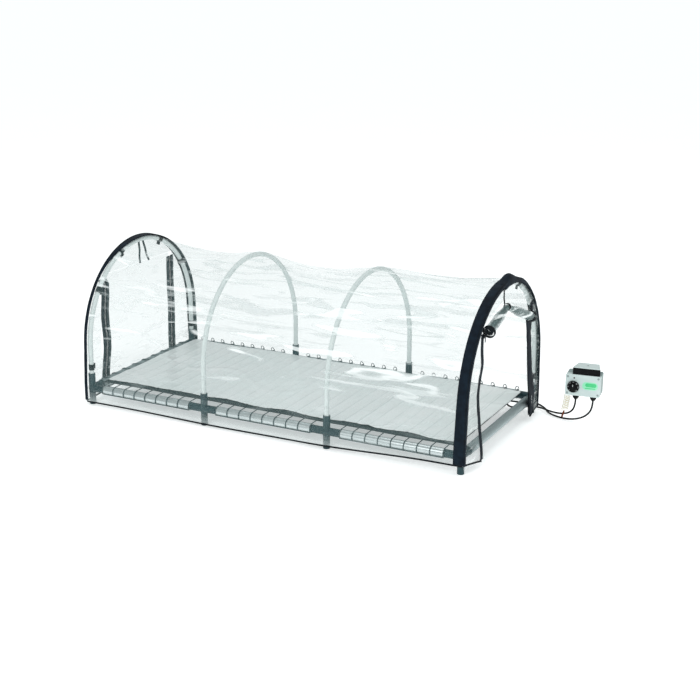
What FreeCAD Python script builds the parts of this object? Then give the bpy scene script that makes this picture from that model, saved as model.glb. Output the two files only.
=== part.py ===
import FreeCAD, Part
import math
import os

# Heated propagation tunnel: a clear film cover over four hoops, a heated foil mat on a wire grid, and a
# thermostat box beside the rear right corner. Millimetres. X runs along the tunnel from the closed door
# (-X) to the open one (+X), Y from the front to the rear and Z up. The origin is on the floor, in the
# middle of the eight feet.

Vector = FreeCAD.Vector
X_AXIS = Vector(1, 0, 0)
Y_AXIS = Vector(0, 1, 0)
Z_AXIS = Vector(0, 0, 1)

# --- driving dimensions -------------------------------------------------------------------------------
LENGTH = 1350.0          # between the end posts
WIDTH = 620.0            # between the front and rear posts
BAYS = 3
BAY = LENGTH / BAYS
POST_X = [-LENGTH / 2 + BAY * i for i in range(BAYS + 1)]
POST_Y = WIDTH / 2

FOOT_R = 11.0
FOOT_TOP = 40.0
POST_R = 11.6
SOCKET_TOP = 108.0
SOCKET_FLOOR = 72.0
RAIL_Z = 56.0            # axis of the rails and of the spigots inside them
RAIL_R = 15.0
RAIL_WALL = 2.0
SPIGOT_R = 12.8
SPIGOT_SHOWS = 51.0      # from the post axis to the end of the rail
SPIGOT_REACH = 80.0      # from the post axis to the end of the spigot

HOOP_R = 8.0
HOOP_WALL = 1.5
HOOP_FIT = 0.2           # radial clearance of a hoop in its socket
HOOP_BOW = WIDTH / 2     # radius of the bent part
SPRING_MID = 192.0       # where the bend starts, on the two middle hoops
SPRING_END = 204.0       # and on the two end hoops, which stand a little taller

WIRE_R = 1.5
WIRES_PER_BAY = 9
LONG_WIRES = 9
LONG_WIRE_PITCH = 60.0
LONG_WIRE_END = 646.0      # the long wires hook on to the left rail and stop short of the right one
HOOK_R = RAIL_R + WIRE_R
CROSS_WIRE_Z = RAIL_Z + HOOK_R
LONG_WIRE_Z = CROSS_WIRE_Z + 2 * WIRE_R + 0.05

MAT_BOTTOM = LONG_WIRE_Z + WIRE_R + 0.05
MAT_THICK = 2.0
MAT_LEFT = -640.0
MAT_RIGHT = 652.0          # at the open end the mat reaches the rail and hides the wire ends
MAT_HALF_Y = 282.0
MAT_CORNER = 12.0

FILM_T = 0.5
FILM_SIDE = POST_Y + 19.0        # inner face of the film beside the rails
FILM_BOW = HOOP_BOW + 10.0       # inner face of the film over the hoops
FILM_KNEE = 80.0                 # height at which the walls start to lean in to the hoops
FILM_BASE = 20.2
FILM_END = LENGTH / 2 + 16.2     # inner face of the end films
END_FACE = FILM_END + FILM_T

BAND_T = 1.0
BAND_WIDTH = 32.0
BAND_LIP = 12.0
HEM_T = 2.6
HEM_TOP = 20.0
HEM_HEIGHT = 6.0

DOOR_TOP = 426.0                 # lower edge of the header, and top of the doors
DOOR_GAP = 0.8                   # between the header and the door's hinge line
FILM_OPENING_Y = 215.0           # half width of the doorway in the end film
DOOR_HALF = 195.0                # half width of the door's film, which its zip tapes widen
ZIP_Y = 205.0                    # middle of each zip
ZIP_GAP = 2.4                    # between the two rows of teeth
TEETH = 3.0
TAPE_T = 1.0
TAPE_WIDTH = 18.0
ZIP_BASE = 22.0
ZIP_TOP = DOOR_TOP - 15.0
SLIDER_HEIGHT = 12.0
PULL_LENGTH = 20.0
PIVOT_R = 0.8

ROLL_R = 17.5
ROLL_BORE = 5.0
ROLL_X = END_FACE + 14.3         # the roll hangs in its doorway, under the raised edge of the header
ROLL_FRONT = Vector(ROLL_X, -201.0, 419.0)
ROLL_TIED = Vector(ROLL_X, -52.0, 457.0)
ROLL_REAR = Vector(ROLL_X, 184.0, 369.0)
STRAP_WIDTH = 12.0
STRAP_T = 1.0
TIE_SLACK = 4.0                  # between the roll and the ring of the tie
LEFT_STRAPS_Y = [20.0, 42.0]
STRAP_FOOT = 440.0

TAB_WIDTH = 20.0
TAB_T = 1.2
TAB_TONGUE = 12.0
TAB_ANGLES = [22.0, 54.0]        # from the crown of the hoop
TAB_LEG_Z = 130.0

CASE_WIDTH = 112.0
CASE_HEIGHT = 71.0
CASE_DEPTH = 60.0
LID_DEPTH = 17.0
CASE_WALL = 2.5
CASE_CORNER = 5.0
CASE_POSE = Vector(865.0, 249.0, 141.0)   # middle of the lid's front face
CASE_YAW = 8.0                            # degrees that the box turns towards +X
KNOB_X = -30.0
KNOB_Z = -5.0
KNOB_R = 19.5
SPINDLE_R = 3.0
LAMP_X = -28.5
LAMP_Z = 24.0
SCREW_X = 49.0
SCREW_Z = 27.5
GLAND_X = [-24.0, 32.0]
GLAND_Y = 26.0
GLAND_LENGTH = 15.0
GLAND_R = 10.0
HANGER_X = 9.0
HANGER_WIDTH = 88.0
HANGER_HEIGHT = 22.0
HANGER_DEPTH = 52.0
HOOK_HOLE_R = 4.0

CORD_D = 6.0
CURLY_D = 24.0
BULB_D = 6.0
JOINT = Vector(601.4, 150.0, 66.0)        # middle of the moulded joint under the mat
JOINT_SIZE = Vector(30.0, 44.0, 10.0)
COIL_CENTRE = Vector(520.0, 400.0, 0.0)
COIL_MEAN_R = 34.0
COIL_TURNS_ACROSS = 3
COIL_LAYERS = 2
PLUG_WIDTH = 35.0
PLUG_THICK = 14.0
PLUG_LENGTH = 36.0
PIN_R = 2.0
PIN_LENGTH = 19.0
PIN_SPACING = 19.0

os.makedirs("parts", exist_ok=True)


# --- helpers ------------------------------------------------------------------------------------------
def export(name, shape):
    shape.exportStep(f"parts/{name}.step")


def block(x0, x1, y0, y1, z0, z1):
    """A box between two values on each axis, in either order."""
    low = Vector(min(x0, x1), min(y0, y1), min(z0, z1))
    high = Vector(max(x0, x1), max(y0, y1), max(z0, z1))
    size = high - low
    return Part.makeBox(size.x, size.y, size.z, low)


def rod(start, direction, length, radius):
    return Part.makeCylinder(radius, length, start, direction)


def tube(start, direction, length, radius, bore):
    return rod(start, direction, length, radius).cut(rod(start, direction, length, bore))


def sweep(edges, radius, start, direction):
    """A round bar along joined edges."""
    circle = Part.Wire(Part.makeCircle(radius, start, direction))
    return Part.Wire(edges).makePipeShell([circle], True, False)


def unit(vector):
    return vector / vector.Length


# --- the film's outline -------------------------------------------------------------------------------
def outline(x, offset, base, spring):
    """Edges up one wall, over the crown and down the other, in the plane X = x, outside the inner face."""
    side = FILM_SIDE + offset
    bow = FILM_BOW + offset
    down = spring - FILM_KNEE
    knee_angle = math.atan2(-down, side)
    lean = math.acos(bow / math.hypot(side, down))
    touch_y = bow * math.cos(knee_angle + lean)
    touch_z = spring + bow * math.sin(knee_angle + lean)
    feet = [Vector(x, s * side, base) for s in (-1, 1)]
    knees = [Vector(x, s * side, FILM_KNEE) for s in (-1, 1)]
    touches = [Vector(x, s * touch_y, touch_z) for s in (-1, 1)]
    crown = Vector(x, 0, spring + bow)
    return [
        Part.makeLine(feet[0], knees[0]),
        Part.makeLine(knees[0], touches[0]),
        Part.Arc(touches[0], crown, touches[1]).toShape(),
        Part.makeLine(touches[1], knees[1]),
        Part.makeLine(knees[1], feet[1]),
    ]


def ring_wire(x, inner, outer, base, spring):
    """The closed outline of a thin arch between two offsets."""
    outside = outline(x, outer, base, spring)
    inside = outline(x, inner, base, spring)
    close_rear = Part.makeLine(outside[-1].Vertexes[-1].Point, inside[-1].Vertexes[-1].Point)
    close_front = Part.makeLine(inside[0].Vertexes[0].Point, outside[0].Vertexes[0].Point)
    return Part.Wire(outside + [close_rear] + inside[::-1] + [close_front])


def thin_arch(x0, x1, inner, outer, base):
    """A thin arch over an end hoop, between two values of X."""
    face = Part.Face(ring_wire(x0, inner, outer, base, SPRING_END))
    return face.extrude(Vector(x1 - x0, 0, 0))


def end_sheet(x0, x1, offset, base):
    """A flat sheet that fills the arch of an end hoop."""
    edges = outline(x0, offset, base, SPRING_END)
    floor = Part.makeLine(edges[-1].Vertexes[-1].Point, edges[0].Vertexes[0].Point)
    return Part.Face(Part.Wire(edges + [floor])).extrude(Vector(x1 - x0, 0, 0))


# --- frame: connectors, rails, hoops, grid ------------------------------------------------------------
def connector(x, y):
    """An upright socket on a foot, with a spigot towards each neighbouring rail."""
    foot = rod(Vector(x, y, 0), Z_AXIS, FOOT_TOP, FOOT_R)
    body = foot.fuse(rod(Vector(x, y, FOOT_TOP), Z_AXIS, SOCKET_TOP - FOOT_TOP, POST_R))
    reach = SPIGOT_REACH
    if x > POST_X[0]:
        body = body.fuse(rod(Vector(x, y, RAIL_Z), -X_AXIS, reach, SPIGOT_R))
    if x < POST_X[-1]:
        body = body.fuse(rod(Vector(x, y, RAIL_Z), X_AXIS, reach, SPIGOT_R))
    if x in (POST_X[0], POST_X[-1]):
        inward = -Y_AXIS if y > 0 else Y_AXIS
        body = body.fuse(rod(Vector(x, y, RAIL_Z), inward, reach, SPIGOT_R))
    bore = rod(Vector(x, y, SOCKET_FLOOR), Z_AXIS, SOCKET_TOP, HOOP_R + HOOP_FIT)
    return body.cut(bore).removeSplitter()


def rail(start, end):
    run = end - start
    return tube(start, unit(run), run.Length, RAIL_R, RAIL_R - RAIL_WALL)


def hoop(x, spring):
    """A bent tube with two straight legs that stand in the sockets."""
    foot = SOCKET_FLOOR + 1.0
    ends = [Vector(x, s * HOOP_BOW, foot) for s in (-1, 1)]
    springs = [Vector(x, s * HOOP_BOW, spring) for s in (-1, 1)]
    path = [
        Part.makeLine(ends[0], springs[0]),
        Part.Arc(springs[0], Vector(x, 0, spring + HOOP_BOW), springs[1]).toShape(),
        Part.makeLine(springs[1], ends[1]),
    ]
    outer = sweep(path, HOOP_R, ends[0], Z_AXIS)
    return outer.cut(sweep(path, HOOP_R - HOOP_WALL, ends[0], Z_AXIS))


def on_hook(angle, radius=HOOK_R):
    """A point beside a rail's axis: degrees from outwards, over the top. Outwards and upwards distances."""
    return radius * math.cos(math.radians(angle)), radius * math.sin(math.radians(angle))


def cross_wire(x):
    """A wire from the front rail to the rear one that hooks round the outside of both."""
    low_angle = -35.0

    def at(side, angle):
        out, up = on_hook(angle)
        return Vector(x, side * (POST_Y + out), RAIL_Z + up)

    front = Part.Arc(at(-1, low_angle), at(-1, 30), at(-1, 90)).toShape()
    span = Part.makeLine(at(-1, 90), at(1, 90))
    rear = Part.Arc(at(1, 90), at(1, 30), at(1, low_angle)).toShape()
    angle = math.radians(low_angle)
    direction = Vector(0, math.sin(angle), math.cos(angle))
    return sweep([front, span, rear], WIRE_R, at(-1, low_angle), direction)


def edge_wire(x0, x1, side):
    """The wire that joins the ends of the hooks, under the outside of a long rail."""
    out, up = on_hook(-35.0 - math.degrees((WIRE_R + 0.1) / HOOK_R))
    return rod(Vector(x0, side * (POST_Y + out), RAIL_Z + up), X_AXIS, x1 - x0, WIRE_R)


def long_wire(y):
    """A wire that hooks over the left rail and lies on the cross wires to near the right one."""
    rise = math.radians(3.7)
    tip_angle = 30.0
    top_angle = 90.0 + math.degrees(rise)

    def at(angle):
        out, up = on_hook(angle)
        return Vector(-LENGTH / 2 - out, y, RAIL_Z + up)

    left_top = at(top_angle)
    run = (LONG_WIRE_Z - left_top.z) / math.tan(rise)
    left_level = Vector(left_top.x + run, y, LONG_WIRE_Z)
    right_level = Vector(LONG_WIRE_END, y, LONG_WIRE_Z)
    path = [
        Part.Arc(at(tip_angle), at(60), left_top).toShape(),
        Part.makeLine(left_top, left_level),
        Part.makeLine(left_level, right_level),
    ]
    angle = math.radians(tip_angle)
    direction = Vector(math.sin(angle), 0, math.cos(angle))
    return sweep(path, WIRE_R, at(tip_angle), direction)


def build_frame():
    names = ["left", "mid_left", "mid_right", "right"]
    for side, where in ((-1, "front"), (1, "rear")):
        for x, name in zip(POST_X, names):
            export(f"connector_{where}_{name}", connector(x, side * POST_Y))
        for i in range(BAYS):
            start = Vector(POST_X[i] + SPIGOT_SHOWS, side * POST_Y, RAIL_Z)
            end = Vector(POST_X[i + 1] - SPIGOT_SHOWS, side * POST_Y, RAIL_Z)
            export(f"rail_{where}_{i + 1}", rail(start, end))
    inner = POST_Y - SPIGOT_SHOWS
    for x, name in ((POST_X[0], "left"), (POST_X[-1], "right")):
        export(f"rail_end_{name}", rail(Vector(x, -inner, RAIL_Z), Vector(x, inner, RAIL_Z)))
    for i, x in enumerate(POST_X):
        spring = SPRING_END if i in (0, BAYS) else SPRING_MID
        export(f"hoop_{i + 1}", hoop(x, spring))


def build_grid():
    wires = []
    for start in POST_X[:-1]:
        first = start + SPIGOT_SHOWS + 1.0
        last = start + BAY - SPIGOT_SHOWS - 1.0
        for i in range(WIRES_PER_BAY):
            wires.append(cross_wire(first + (last - first) * i / (WIRES_PER_BAY - 1)))
        for side in (-1, 1):
            wires.append(edge_wire(first - 1.0, last + 1.0, side))
    middle = (LONG_WIRES - 1) / 2
    for i in range(LONG_WIRES):
        wires.append(long_wire((i - middle) * LONG_WIRE_PITCH))
    export("support_grid", Part.makeCompound(wires))


def build_mat():
    mat = block(MAT_LEFT, MAT_RIGHT, -MAT_HALF_Y, MAT_HALF_Y, MAT_BOTTOM, MAT_BOTTOM + MAT_THICK)
    corners = [e for e in mat.Edges if abs(e.tangentAt(e.FirstParameter).z) > 0.9]
    export("heating_mat", mat.makeFillet(MAT_CORNER, corners))
    half = JOINT_SIZE / 2
    top = MAT_BOTTOM - 0.05
    joint = block(JOINT.x - half.x, JOINT.x + half.x, JOINT.y - half.y, JOINT.y + half.y, JOINT.z - half.z, top)
    edges = [e for e in joint.Edges if abs(e.tangentAt(e.FirstParameter).z) > 0.9]
    export("mat_lead_joint", joint.makeFillet(4.0, edges))


# --- cover: films, bands, hems, zips, straps, tabs ----------------------------------------------------
def build_films():
    end = END_FACE + 0.1
    stations = [(-end, SPRING_END), (POST_X[1], SPRING_MID), (POST_X[2], SPRING_MID), (end, SPRING_END)]
    sections = [ring_wire(x, 0.0, FILM_T, FILM_BASE, spring) for x, spring in stations]
    export("cover_roof", Part.makeLoft(sections, True, True))
    for side, name in ((-1, "left"), (1, "right")):
        sheet = end_sheet(side * FILM_END, side * END_FACE, -0.2, FILM_BASE)
        if side < 0:
            doorway = block(-600, -800, -FILM_OPENING_Y, FILM_OPENING_Y, 0, DOOR_TOP)
        else:
            doorway = open_doorway()
        export(f"end_film_{name}", sheet.cut(doorway))
        band = thin_arch(side * (END_FACE + 1.6 - BAND_WIDTH), side * (END_FACE + 1.6), FILM_T + 0.1,
                         FILM_T + 0.1 + BAND_T, FILM_BASE)
        lip = thin_arch(side * (END_FACE + 0.4), side * (END_FACE + 1.6), -BAND_LIP, FILM_T + 0.3, FILM_BASE)
        export(f"band_{name}", band.fuse(lip).removeSplitter())


def open_doorway():
    """The open end's doorway, whose top edge follows the rolled door up to its tie."""
    front = ROLL_TIED - ROLL_FRONT
    rear = ROLL_REAR - ROLL_TIED
    front_slope = front.z / front.y
    rear_slope = rear.z / rear.y
    clear = ROLL_R + 1.5
    front_rise = clear * math.hypot(1, front_slope)
    rear_rise = clear * math.hypot(1, rear_slope)
    peak_y = (rear_rise - front_rise) / (front_slope - rear_slope)
    peak_z = ROLL_TIED.z + front_rise + front_slope * peak_y
    side = FILM_OPENING_Y
    slot = ZIP_Y - 2.0
    corner_z = ROLL_TIED.z + front_rise - front_slope * (side + ROLL_TIED.y)
    slot_z = ROLL_TIED.z + rear_rise + rear_slope * (slot - ROLL_TIED.y)
    outline_points = [
        (-side, 0),
        (-side, corner_z),
        (ROLL_TIED.y + peak_y, peak_z),
        (slot, slot_z),
        (slot, DOOR_TOP),
        (side, DOOR_TOP),
        (side, 0),
        (-side, 0),
    ]
    points = [Vector(600, y, z) for y, z in outline_points]
    return Part.Face(Part.makePolygon(points)).extrude(X_AXIS * 200)


def build_hems():
    """A binding along each long wall, round its corners and along the end films to the zips."""
    middle = FILM_SIDE + FILM_T / 2
    reach = END_FACE - FILM_T / 2 + HEM_T / 2
    hems = []
    for side in (-1, 1):
        outer = middle + HEM_T / 2
        floor = HEM_TOP - HEM_HEIGHT
        hem = block(-reach, reach, side * (outer - HEM_T), side * outer, floor, HEM_TOP)
        for end in (-1, 1):
            arm = block(end * reach, end * (reach - HEM_T), side * outer, side * FILM_OPENING_Y, floor, HEM_TOP)
            hem = hem.fuse(arm)
        hems.append(hem.removeSplitter())
    export("hem_binding", Part.makeCompound(hems))


def zip_half(end, side, outward):
    """Half of a zip: its tape and its row of teeth. outward is 1 on the wall's half, -1 on the door's."""
    teeth_near = ZIP_Y + outward * ZIP_GAP / 2
    teeth_far = teeth_near + outward * TEETH
    tape_far = teeth_far + outward * TAPE_WIDTH
    top = ZIP_TOP if outward > 0 else ZIP_TOP - 1.0
    tape = block(end * (END_FACE + 0.1), end * (END_FACE + 0.1 + TAPE_T), side * teeth_far, side * tape_far,
                 ZIP_BASE, top)
    teeth = block(end * (END_FACE - 0.9), end * (END_FACE + 2.1), side * teeth_near, side * teeth_far,
                  ZIP_BASE, top)
    return tape.fuse(teeth).removeSplitter()


def slider(end, side, base):
    """A clip round the wall's row of teeth, with two lugs and a pivot pin for the pull tab."""
    near = ZIP_Y - 0.6
    far = near + 8.0
    top = base + SLIDER_HEIGHT
    outer = block(end * (END_FACE + 2.5), end * (END_FACE + 4.5), side * near, side * far, base, top)
    inner = block(end * (END_FACE - 3.3), end * (END_FACE - 1.3), side * near, side * far, base, top)
    web = block(end * (END_FACE - 3.3), end * (END_FACE + 4.5), side * near, side * (near + 1.2), base, top)
    body = outer.fuse([inner, web])
    pivot = pivot_point(end, side, base)
    for start in (-3.1, 1.9):
        lug_near = side * (abs(pivot.y) + start)
        lug_far = lug_near + side * 1.2
        lug = block(end * (END_FACE + 4.0), pivot.x + end, lug_near, lug_far, pivot.z - 1.6, pivot.z + 1.6)
        body = body.fuse(lug)
    pin = rod(Vector(pivot.x, pivot.y - 2.5, pivot.z), Y_AXIS, 5.0, PIVOT_R)
    return body.fuse(pin).removeSplitter()


def pivot_point(end, side, base):
    return Vector(end * (END_FACE + 6.9), side * (ZIP_Y + 3.4), base + SLIDER_HEIGHT - 4.0)


def pull_tab(end, side, base):
    """A flat tab with an eye round the slider's pin, hanging straight down."""
    pivot = pivot_point(end, side, base)
    eye = rod(Vector(pivot.x, pivot.y - 1.5, pivot.z), Y_AXIS, 3.0, 2.0)
    neck = block(pivot.x - 0.6, pivot.x + 0.6, pivot.y - 1.5, pivot.y + 1.5, pivot.z - 5.0, pivot.z)
    tongue = block(pivot.x - 0.6, pivot.x + 0.6, pivot.y - 3.0, pivot.y + 3.0, pivot.z - PULL_LENGTH,
                   pivot.z - 4.5)
    tab = eye.fuse([neck, tongue])
    bore = rod(Vector(pivot.x, pivot.y - 5.0, pivot.z), Y_AXIS, 10.0, PIVOT_R + 0.35)
    return tab.cut(bore).removeSplitter()


def build_zips():
    export("zip_tapes", Part.makeCompound([zip_half(end, side, 1) for end in (-1, 1) for side in (-1, 1)]))
    for end, name in ((-1, "left"), (1, "right")):
        base = ZIP_BASE + 2.0 if end < 0 else ZIP_TOP - 2.0 - SLIDER_HEIGHT
        for side, where in ((-1, "front"), (1, "rear")):
            export(f"zip_slider_{name}_{where}", slider(end, side, base))
            export(f"zip_pull_{name}_{where}", pull_tab(end, side, base))


def build_doors():
    door = block(-END_FACE, -FILM_END, -DOOR_HALF, DOOR_HALF, ZIP_BASE, DOOR_TOP - 2 * DOOR_GAP)
    export("door_left", door)
    export("door_zip_tapes", Part.makeCompound([zip_half(-1, side, -1) for side in (-1, 1)]))
    runs = [tip - ROLL_TIED for tip in (ROLL_FRONT, ROLL_REAR)]
    roll = Part.makeSphere(ROLL_R, ROLL_TIED)
    for run in runs:
        roll = roll.fuse(rod(ROLL_TIED, unit(run), run.Length, ROLL_R))
    for run in runs:
        roll = roll.cut(rod(ROLL_TIED + unit(run) * 30.0, unit(run), run.Length, ROLL_BORE))
    export("door_roll", roll.removeSplitter())


def build_straps():
    """Flat tie straps sewn under the crown of each end band."""
    near = END_FACE + 1.7
    far = near + STRAP_T
    crown = SPRING_END + FILM_BOW - 2.0
    straps = []
    for y in LEFT_STRAPS_Y:
        straps.append(block(-near, -far, y - STRAP_WIDTH / 2, y + STRAP_WIDTH / 2, STRAP_FOOT, crown))
    export("ties_left", Part.makeCompound(straps))
    bore = ROLL_R + TIE_SLACK
    start = ROLL_TIED - Y_AXIS * (STRAP_WIDTH / 2)
    loop = tube(start, Y_AXIS, STRAP_WIDTH, bore + STRAP_T, bore)
    back = END_FACE + 0.2
    foot = ROLL_TIED.z + math.sqrt(bore ** 2 - (ROLL_X - back) ** 2) + 0.4
    lip_z = SPRING_END + math.sqrt((FILM_BOW - BAND_LIP) ** 2 - start.y ** 2)
    rise = block(back, back + 0.5, start.y, start.y + STRAP_WIDTH, foot, lip_z - 0.5)
    export("tie_right", loop.fuse(rise).removeSplitter())


def hoop_tab(x, y, z, angle):
    """A short strap round a hoop, with its tongue pointing into the tunnel. angle is from the crown."""
    way = Vector(0, math.cos(math.radians(angle)), -math.sin(math.radians(angle)))
    inward = Vector(0, -math.sin(math.radians(angle)), -math.cos(math.radians(angle)))
    start = Vector(x, y, z) - way * (TAB_WIDTH / 2)
    ring = tube(start, way, TAB_WIDTH, HOOP_R + 0.2 + TAB_T, HOOP_R + 0.2)
    tongue = Part.makeBox(TAB_T, TAB_TONGUE, TAB_WIDTH, Vector(-TAB_T / 2, 0, 0))
    turn = FreeCAD.Rotation(X_AXIS, inward, way, "XYZ")
    tongue.Placement = FreeCAD.Placement(start + inward * (HOOP_R + 0.6), turn)
    return ring.fuse(tongue)


def build_tabs():
    tabs = []
    for x in (POST_X[0], POST_X[-1]):
        for angle in [s * a for a in TAB_ANGLES for s in (-1, 1)]:
            y = HOOP_BOW * math.sin(math.radians(angle))
            z = SPRING_END + HOOP_BOW * math.cos(math.radians(angle))
            tabs.append(hoop_tab(x, y, z, angle))
        for side in (-1, 1):
            tabs.append(hoop_tab(x, side * POST_Y, TAB_LEG_Z, side * 90.0))
    export("hoop_tabs", Part.makeCompound(tabs))


# --- thermostat ---------------------------------------------------------------------------------------
# Built about the middle of the lid's front face: X along the face, Y into the box, Z up.
def place(shape):
    turn = FreeCAD.Rotation(Z_AXIS, CASE_YAW)
    moved = shape.copy()
    moved.Placement = FreeCAD.Placement(CASE_POSE, turn).multiply(moved.Placement)
    return moved


def world(x, y, z):
    return FreeCAD.Placement(CASE_POSE, FreeCAD.Rotation(Z_AXIS, CASE_YAW)).multVec(Vector(x, y, z))


def rounded_box(half_x, half_z, y0, y1, radius):
    shape = block(-half_x, half_x, y0, y1, -half_z, half_z)
    edges = [e for e in shape.Edges if abs(e.tangentAt(e.FirstParameter).y) > 0.9]
    return shape.makeFillet(radius, edges)


def corners(x, z):
    return [(sx * x, sz * z) for sx in (-1, 1) for sz in (-1, 1)]


def build_case():
    half_x = CASE_WIDTH / 2
    half_z = CASE_HEIGHT / 2
    wall = CASE_WALL
    lid = rounded_box(half_x, half_z, 0, LID_DEPTH, CASE_CORNER)
    lid = lid.cut(rounded_box(half_x - wall, half_z - wall, wall, LID_DEPTH + 1, CASE_CORNER - wall))
    case = rounded_box(half_x, half_z, LID_DEPTH, CASE_DEPTH, CASE_CORNER)
    hollow = rounded_box(half_x - wall, half_z - wall, LID_DEPTH - 1, CASE_DEPTH - wall, CASE_CORNER - wall)
    case = case.cut(hollow)
    screws = []
    for x, z in corners(SCREW_X, SCREW_Z):
        boss_depth = LID_DEPTH - wall
        lid = lid.fuse(rod(Vector(x, wall, z), Y_AXIS, boss_depth, 5.0).common(
            rounded_box(half_x, half_z, 0, LID_DEPTH, CASE_CORNER)))
        lid = lid.cut(rod(Vector(x, 0, z), Y_AXIS, 2.0, 3.7)).cut(rod(Vector(x, 0, z), Y_AXIS, LID_DEPTH, 2.2))
        post = rod(Vector(x, LID_DEPTH, z), Y_AXIS, CASE_DEPTH - LID_DEPTH - wall, 5.0)
        case = case.fuse(post.common(rounded_box(half_x, half_z, LID_DEPTH, CASE_DEPTH, CASE_CORNER)))
        case = case.cut(rod(Vector(x, LID_DEPTH, z), Y_AXIS, 16.0, 1.6))
        head = rod(Vector(x, 0.3, z), Y_AXIS, 1.6, 3.4)
        slot = block(x - 0.4, x + 0.4, 0, 1.0, z - 2.6, z + 2.6)
        screws.append(head.fuse(rod(Vector(x, 1.0, z), Y_AXIS, 28.0, 1.55)).cut(slot))
    lid = lid.cut(rod(Vector(KNOB_X, 0, KNOB_Z), Y_AXIS, wall + 1, SPINDLE_R + 0.4))
    lid = lid.cut(rod(Vector(LAMP_X, 0, LAMP_Z), Y_AXIS, wall + 1, 2.6))
    for x in GLAND_X:
        case = case.cut(rod(Vector(x, GLAND_Y, -half_z), Z_AXIS, wall, 4.0))
    export("thermostat_lid", place(lid.removeSplitter()))
    export("thermostat_case", place(case.removeSplitter()))
    export("lid_screws", place(Part.makeCompound(screws)))
    lamp = rod(Vector(LAMP_X, -0.4, LAMP_Z), Y_AXIS, 9.0, 2.5)
    dome = Part.makeSphere(2.5, Vector(LAMP_X, -0.4, LAMP_Z)).common(
        block(LAMP_X - 3, LAMP_X + 3, -2.0, 0, LAMP_Z - 3, LAMP_Z + 3))
    export("indicator_lens", place(lamp.fuse(dome)))


def build_knob():
    """A dial with a raised grip, on a spindle that turns in the control on the circuit board."""
    skirt = rod(Vector(KNOB_X, -6.0, KNOB_Z), Y_AXIS, 5.0, KNOB_R)
    grip = Part.makeCone(10.5, 12.5, 8.5, Vector(KNOB_X, -14.0, KNOB_Z), Y_AXIS)
    pointer = block(KNOB_X - 1.0, KNOB_X + 1.0, -14.6, -10.0, KNOB_Z + 1.0, KNOB_Z + 11.0)
    knob = skirt.fuse([grip, pointer])
    knob = knob.cut(rod(Vector(KNOB_X, -11.0, KNOB_Z), Y_AXIS, 12.0, SPINDLE_R))
    export("thermostat_knob", place(knob.removeSplitter()))
    spindle = rod(Vector(KNOB_X, -10.8, KNOB_Z), Y_AXIS, 29.8, SPINDLE_R - 0.02)
    export("knob_spindle", place(spindle))
    board_y = 26.0
    board = block(-44, 44, board_y, board_y + 1.6, -21, 21)
    control = rod(Vector(KNOB_X, 11.0, KNOB_Z), Y_AXIS, board_y - 11.0, 8.0)
    control = control.cut(rod(Vector(KNOB_X, 10.0, KNOB_Z), Y_AXIS, 10.0, SPINDLE_R + 0.4))
    relay = block(2, 31, board_y - 15.0, board_y, -10, 3)
    terminals = block(-8, 32, board_y - 11.0, board_y, -20.5, -12.5)
    export("circuit_board", place(board.fuse([control, relay, terminals]).removeSplitter()))


def build_glands():
    top = -CASE_HEIGHT / 2
    glands = []
    for x in GLAND_X:
        collar = rod(Vector(x, GLAND_Y, top), -Z_AXIS, 4.5, GLAND_R)
        nose_start = Vector(x, GLAND_Y, top - 4.5)
        nose = Part.makeCone(GLAND_R - 0.8, CORD_D / 2 + 0.6, GLAND_LENGTH - 4.5, nose_start, -Z_AXIS)
        neck = rod(Vector(x, GLAND_Y, top), Z_AXIS, CASE_WALL + 4.0, 3.9)
        glands.append(collar.fuse([nose, neck]).removeSplitter())
    export("cable_glands", place(Part.makeCompound(glands)))


def build_hanger():
    """A block on the box with a sloping top plate, whose hole takes a hook."""
    base = CASE_HEIGHT / 2
    x0 = HANGER_X - HANGER_WIDTH / 2
    x1 = HANGER_X + HANGER_WIDTH / 2
    y0 = 4.0
    y1 = y0 + HANGER_DEPTH
    taper = 11.0
    middle = Vector(HANGER_X, (y0 + y1) / 2, base)

    def slab(z0, z1, inset):
        points = [
            Vector(x0 + inset, y0, z0),
            Vector(x1 - inset, y0, z0),
            Vector(x1 - taper, y1, z0),
            Vector(x0 + taper, y1, z0),
        ]
        return Part.Face(Part.makePolygon(points + points[:1])).extrude(Vector(0, 0, z1 - z0))

    body = slab(base, base + HANGER_HEIGHT, 0.0)
    body = body.cut(rod(middle + Z_AXIS * (HANGER_HEIGHT - 14.0), Z_AXIS, 14.0, HOOK_HOLE_R + 1.5))
    export("hanger_block", place(body))
    plate = slab(base + HANGER_HEIGHT, base + HANGER_HEIGHT + 3.0, 1.0)
    plate = plate.cut(rod(middle + Z_AXIS * HANGER_HEIGHT, Z_AXIS, 3.0, HOOK_HOLE_R))
    export("hanger_plate", place(plate))


# --- cords --------------------------------------------------------------------------------------------
def cord(points, diameter, name):
    """A round cord of straight runs joined by tangent arcs. Prints its arcs, length and volume."""
    edges = []
    radii = []
    last = points[0]
    for before, corner, after in zip(points, points[1:], points[2:]):
        arrive = unit(corner - before)
        leave = unit(after - corner)
        half_turn = arrive.getAngle(leave) / 2
        setback = 0.45 * min((corner - before).Length, (after - corner).Length)
        radius = setback / math.tan(half_turn)
        radii.append(round(radius))
        start = corner - arrive * setback
        end = corner + leave * setback
        inside = unit(leave - arrive)
        centre = corner + inside * (radius / math.cos(half_turn))
        middle = centre - inside * radius
        edges.append(Part.LineSegment(last, start).toShape())
        edges.append(Part.Arc(start, middle, end).toShape())
        last = end
    edges.append(Part.LineSegment(last, points[-1]).toShape())
    shape = sweep(edges, diameter / 2, points[0], unit(points[1] - points[0]))
    length = sum(edge.Length for edge in edges)
    expected = math.pi * diameter ** 2 / 4 * length
    print(f"{name}: arcs {radii} mm, length {length:.0f} mm, volume/expected {shape.Volume / expected:.3f}")
    return shape


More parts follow.
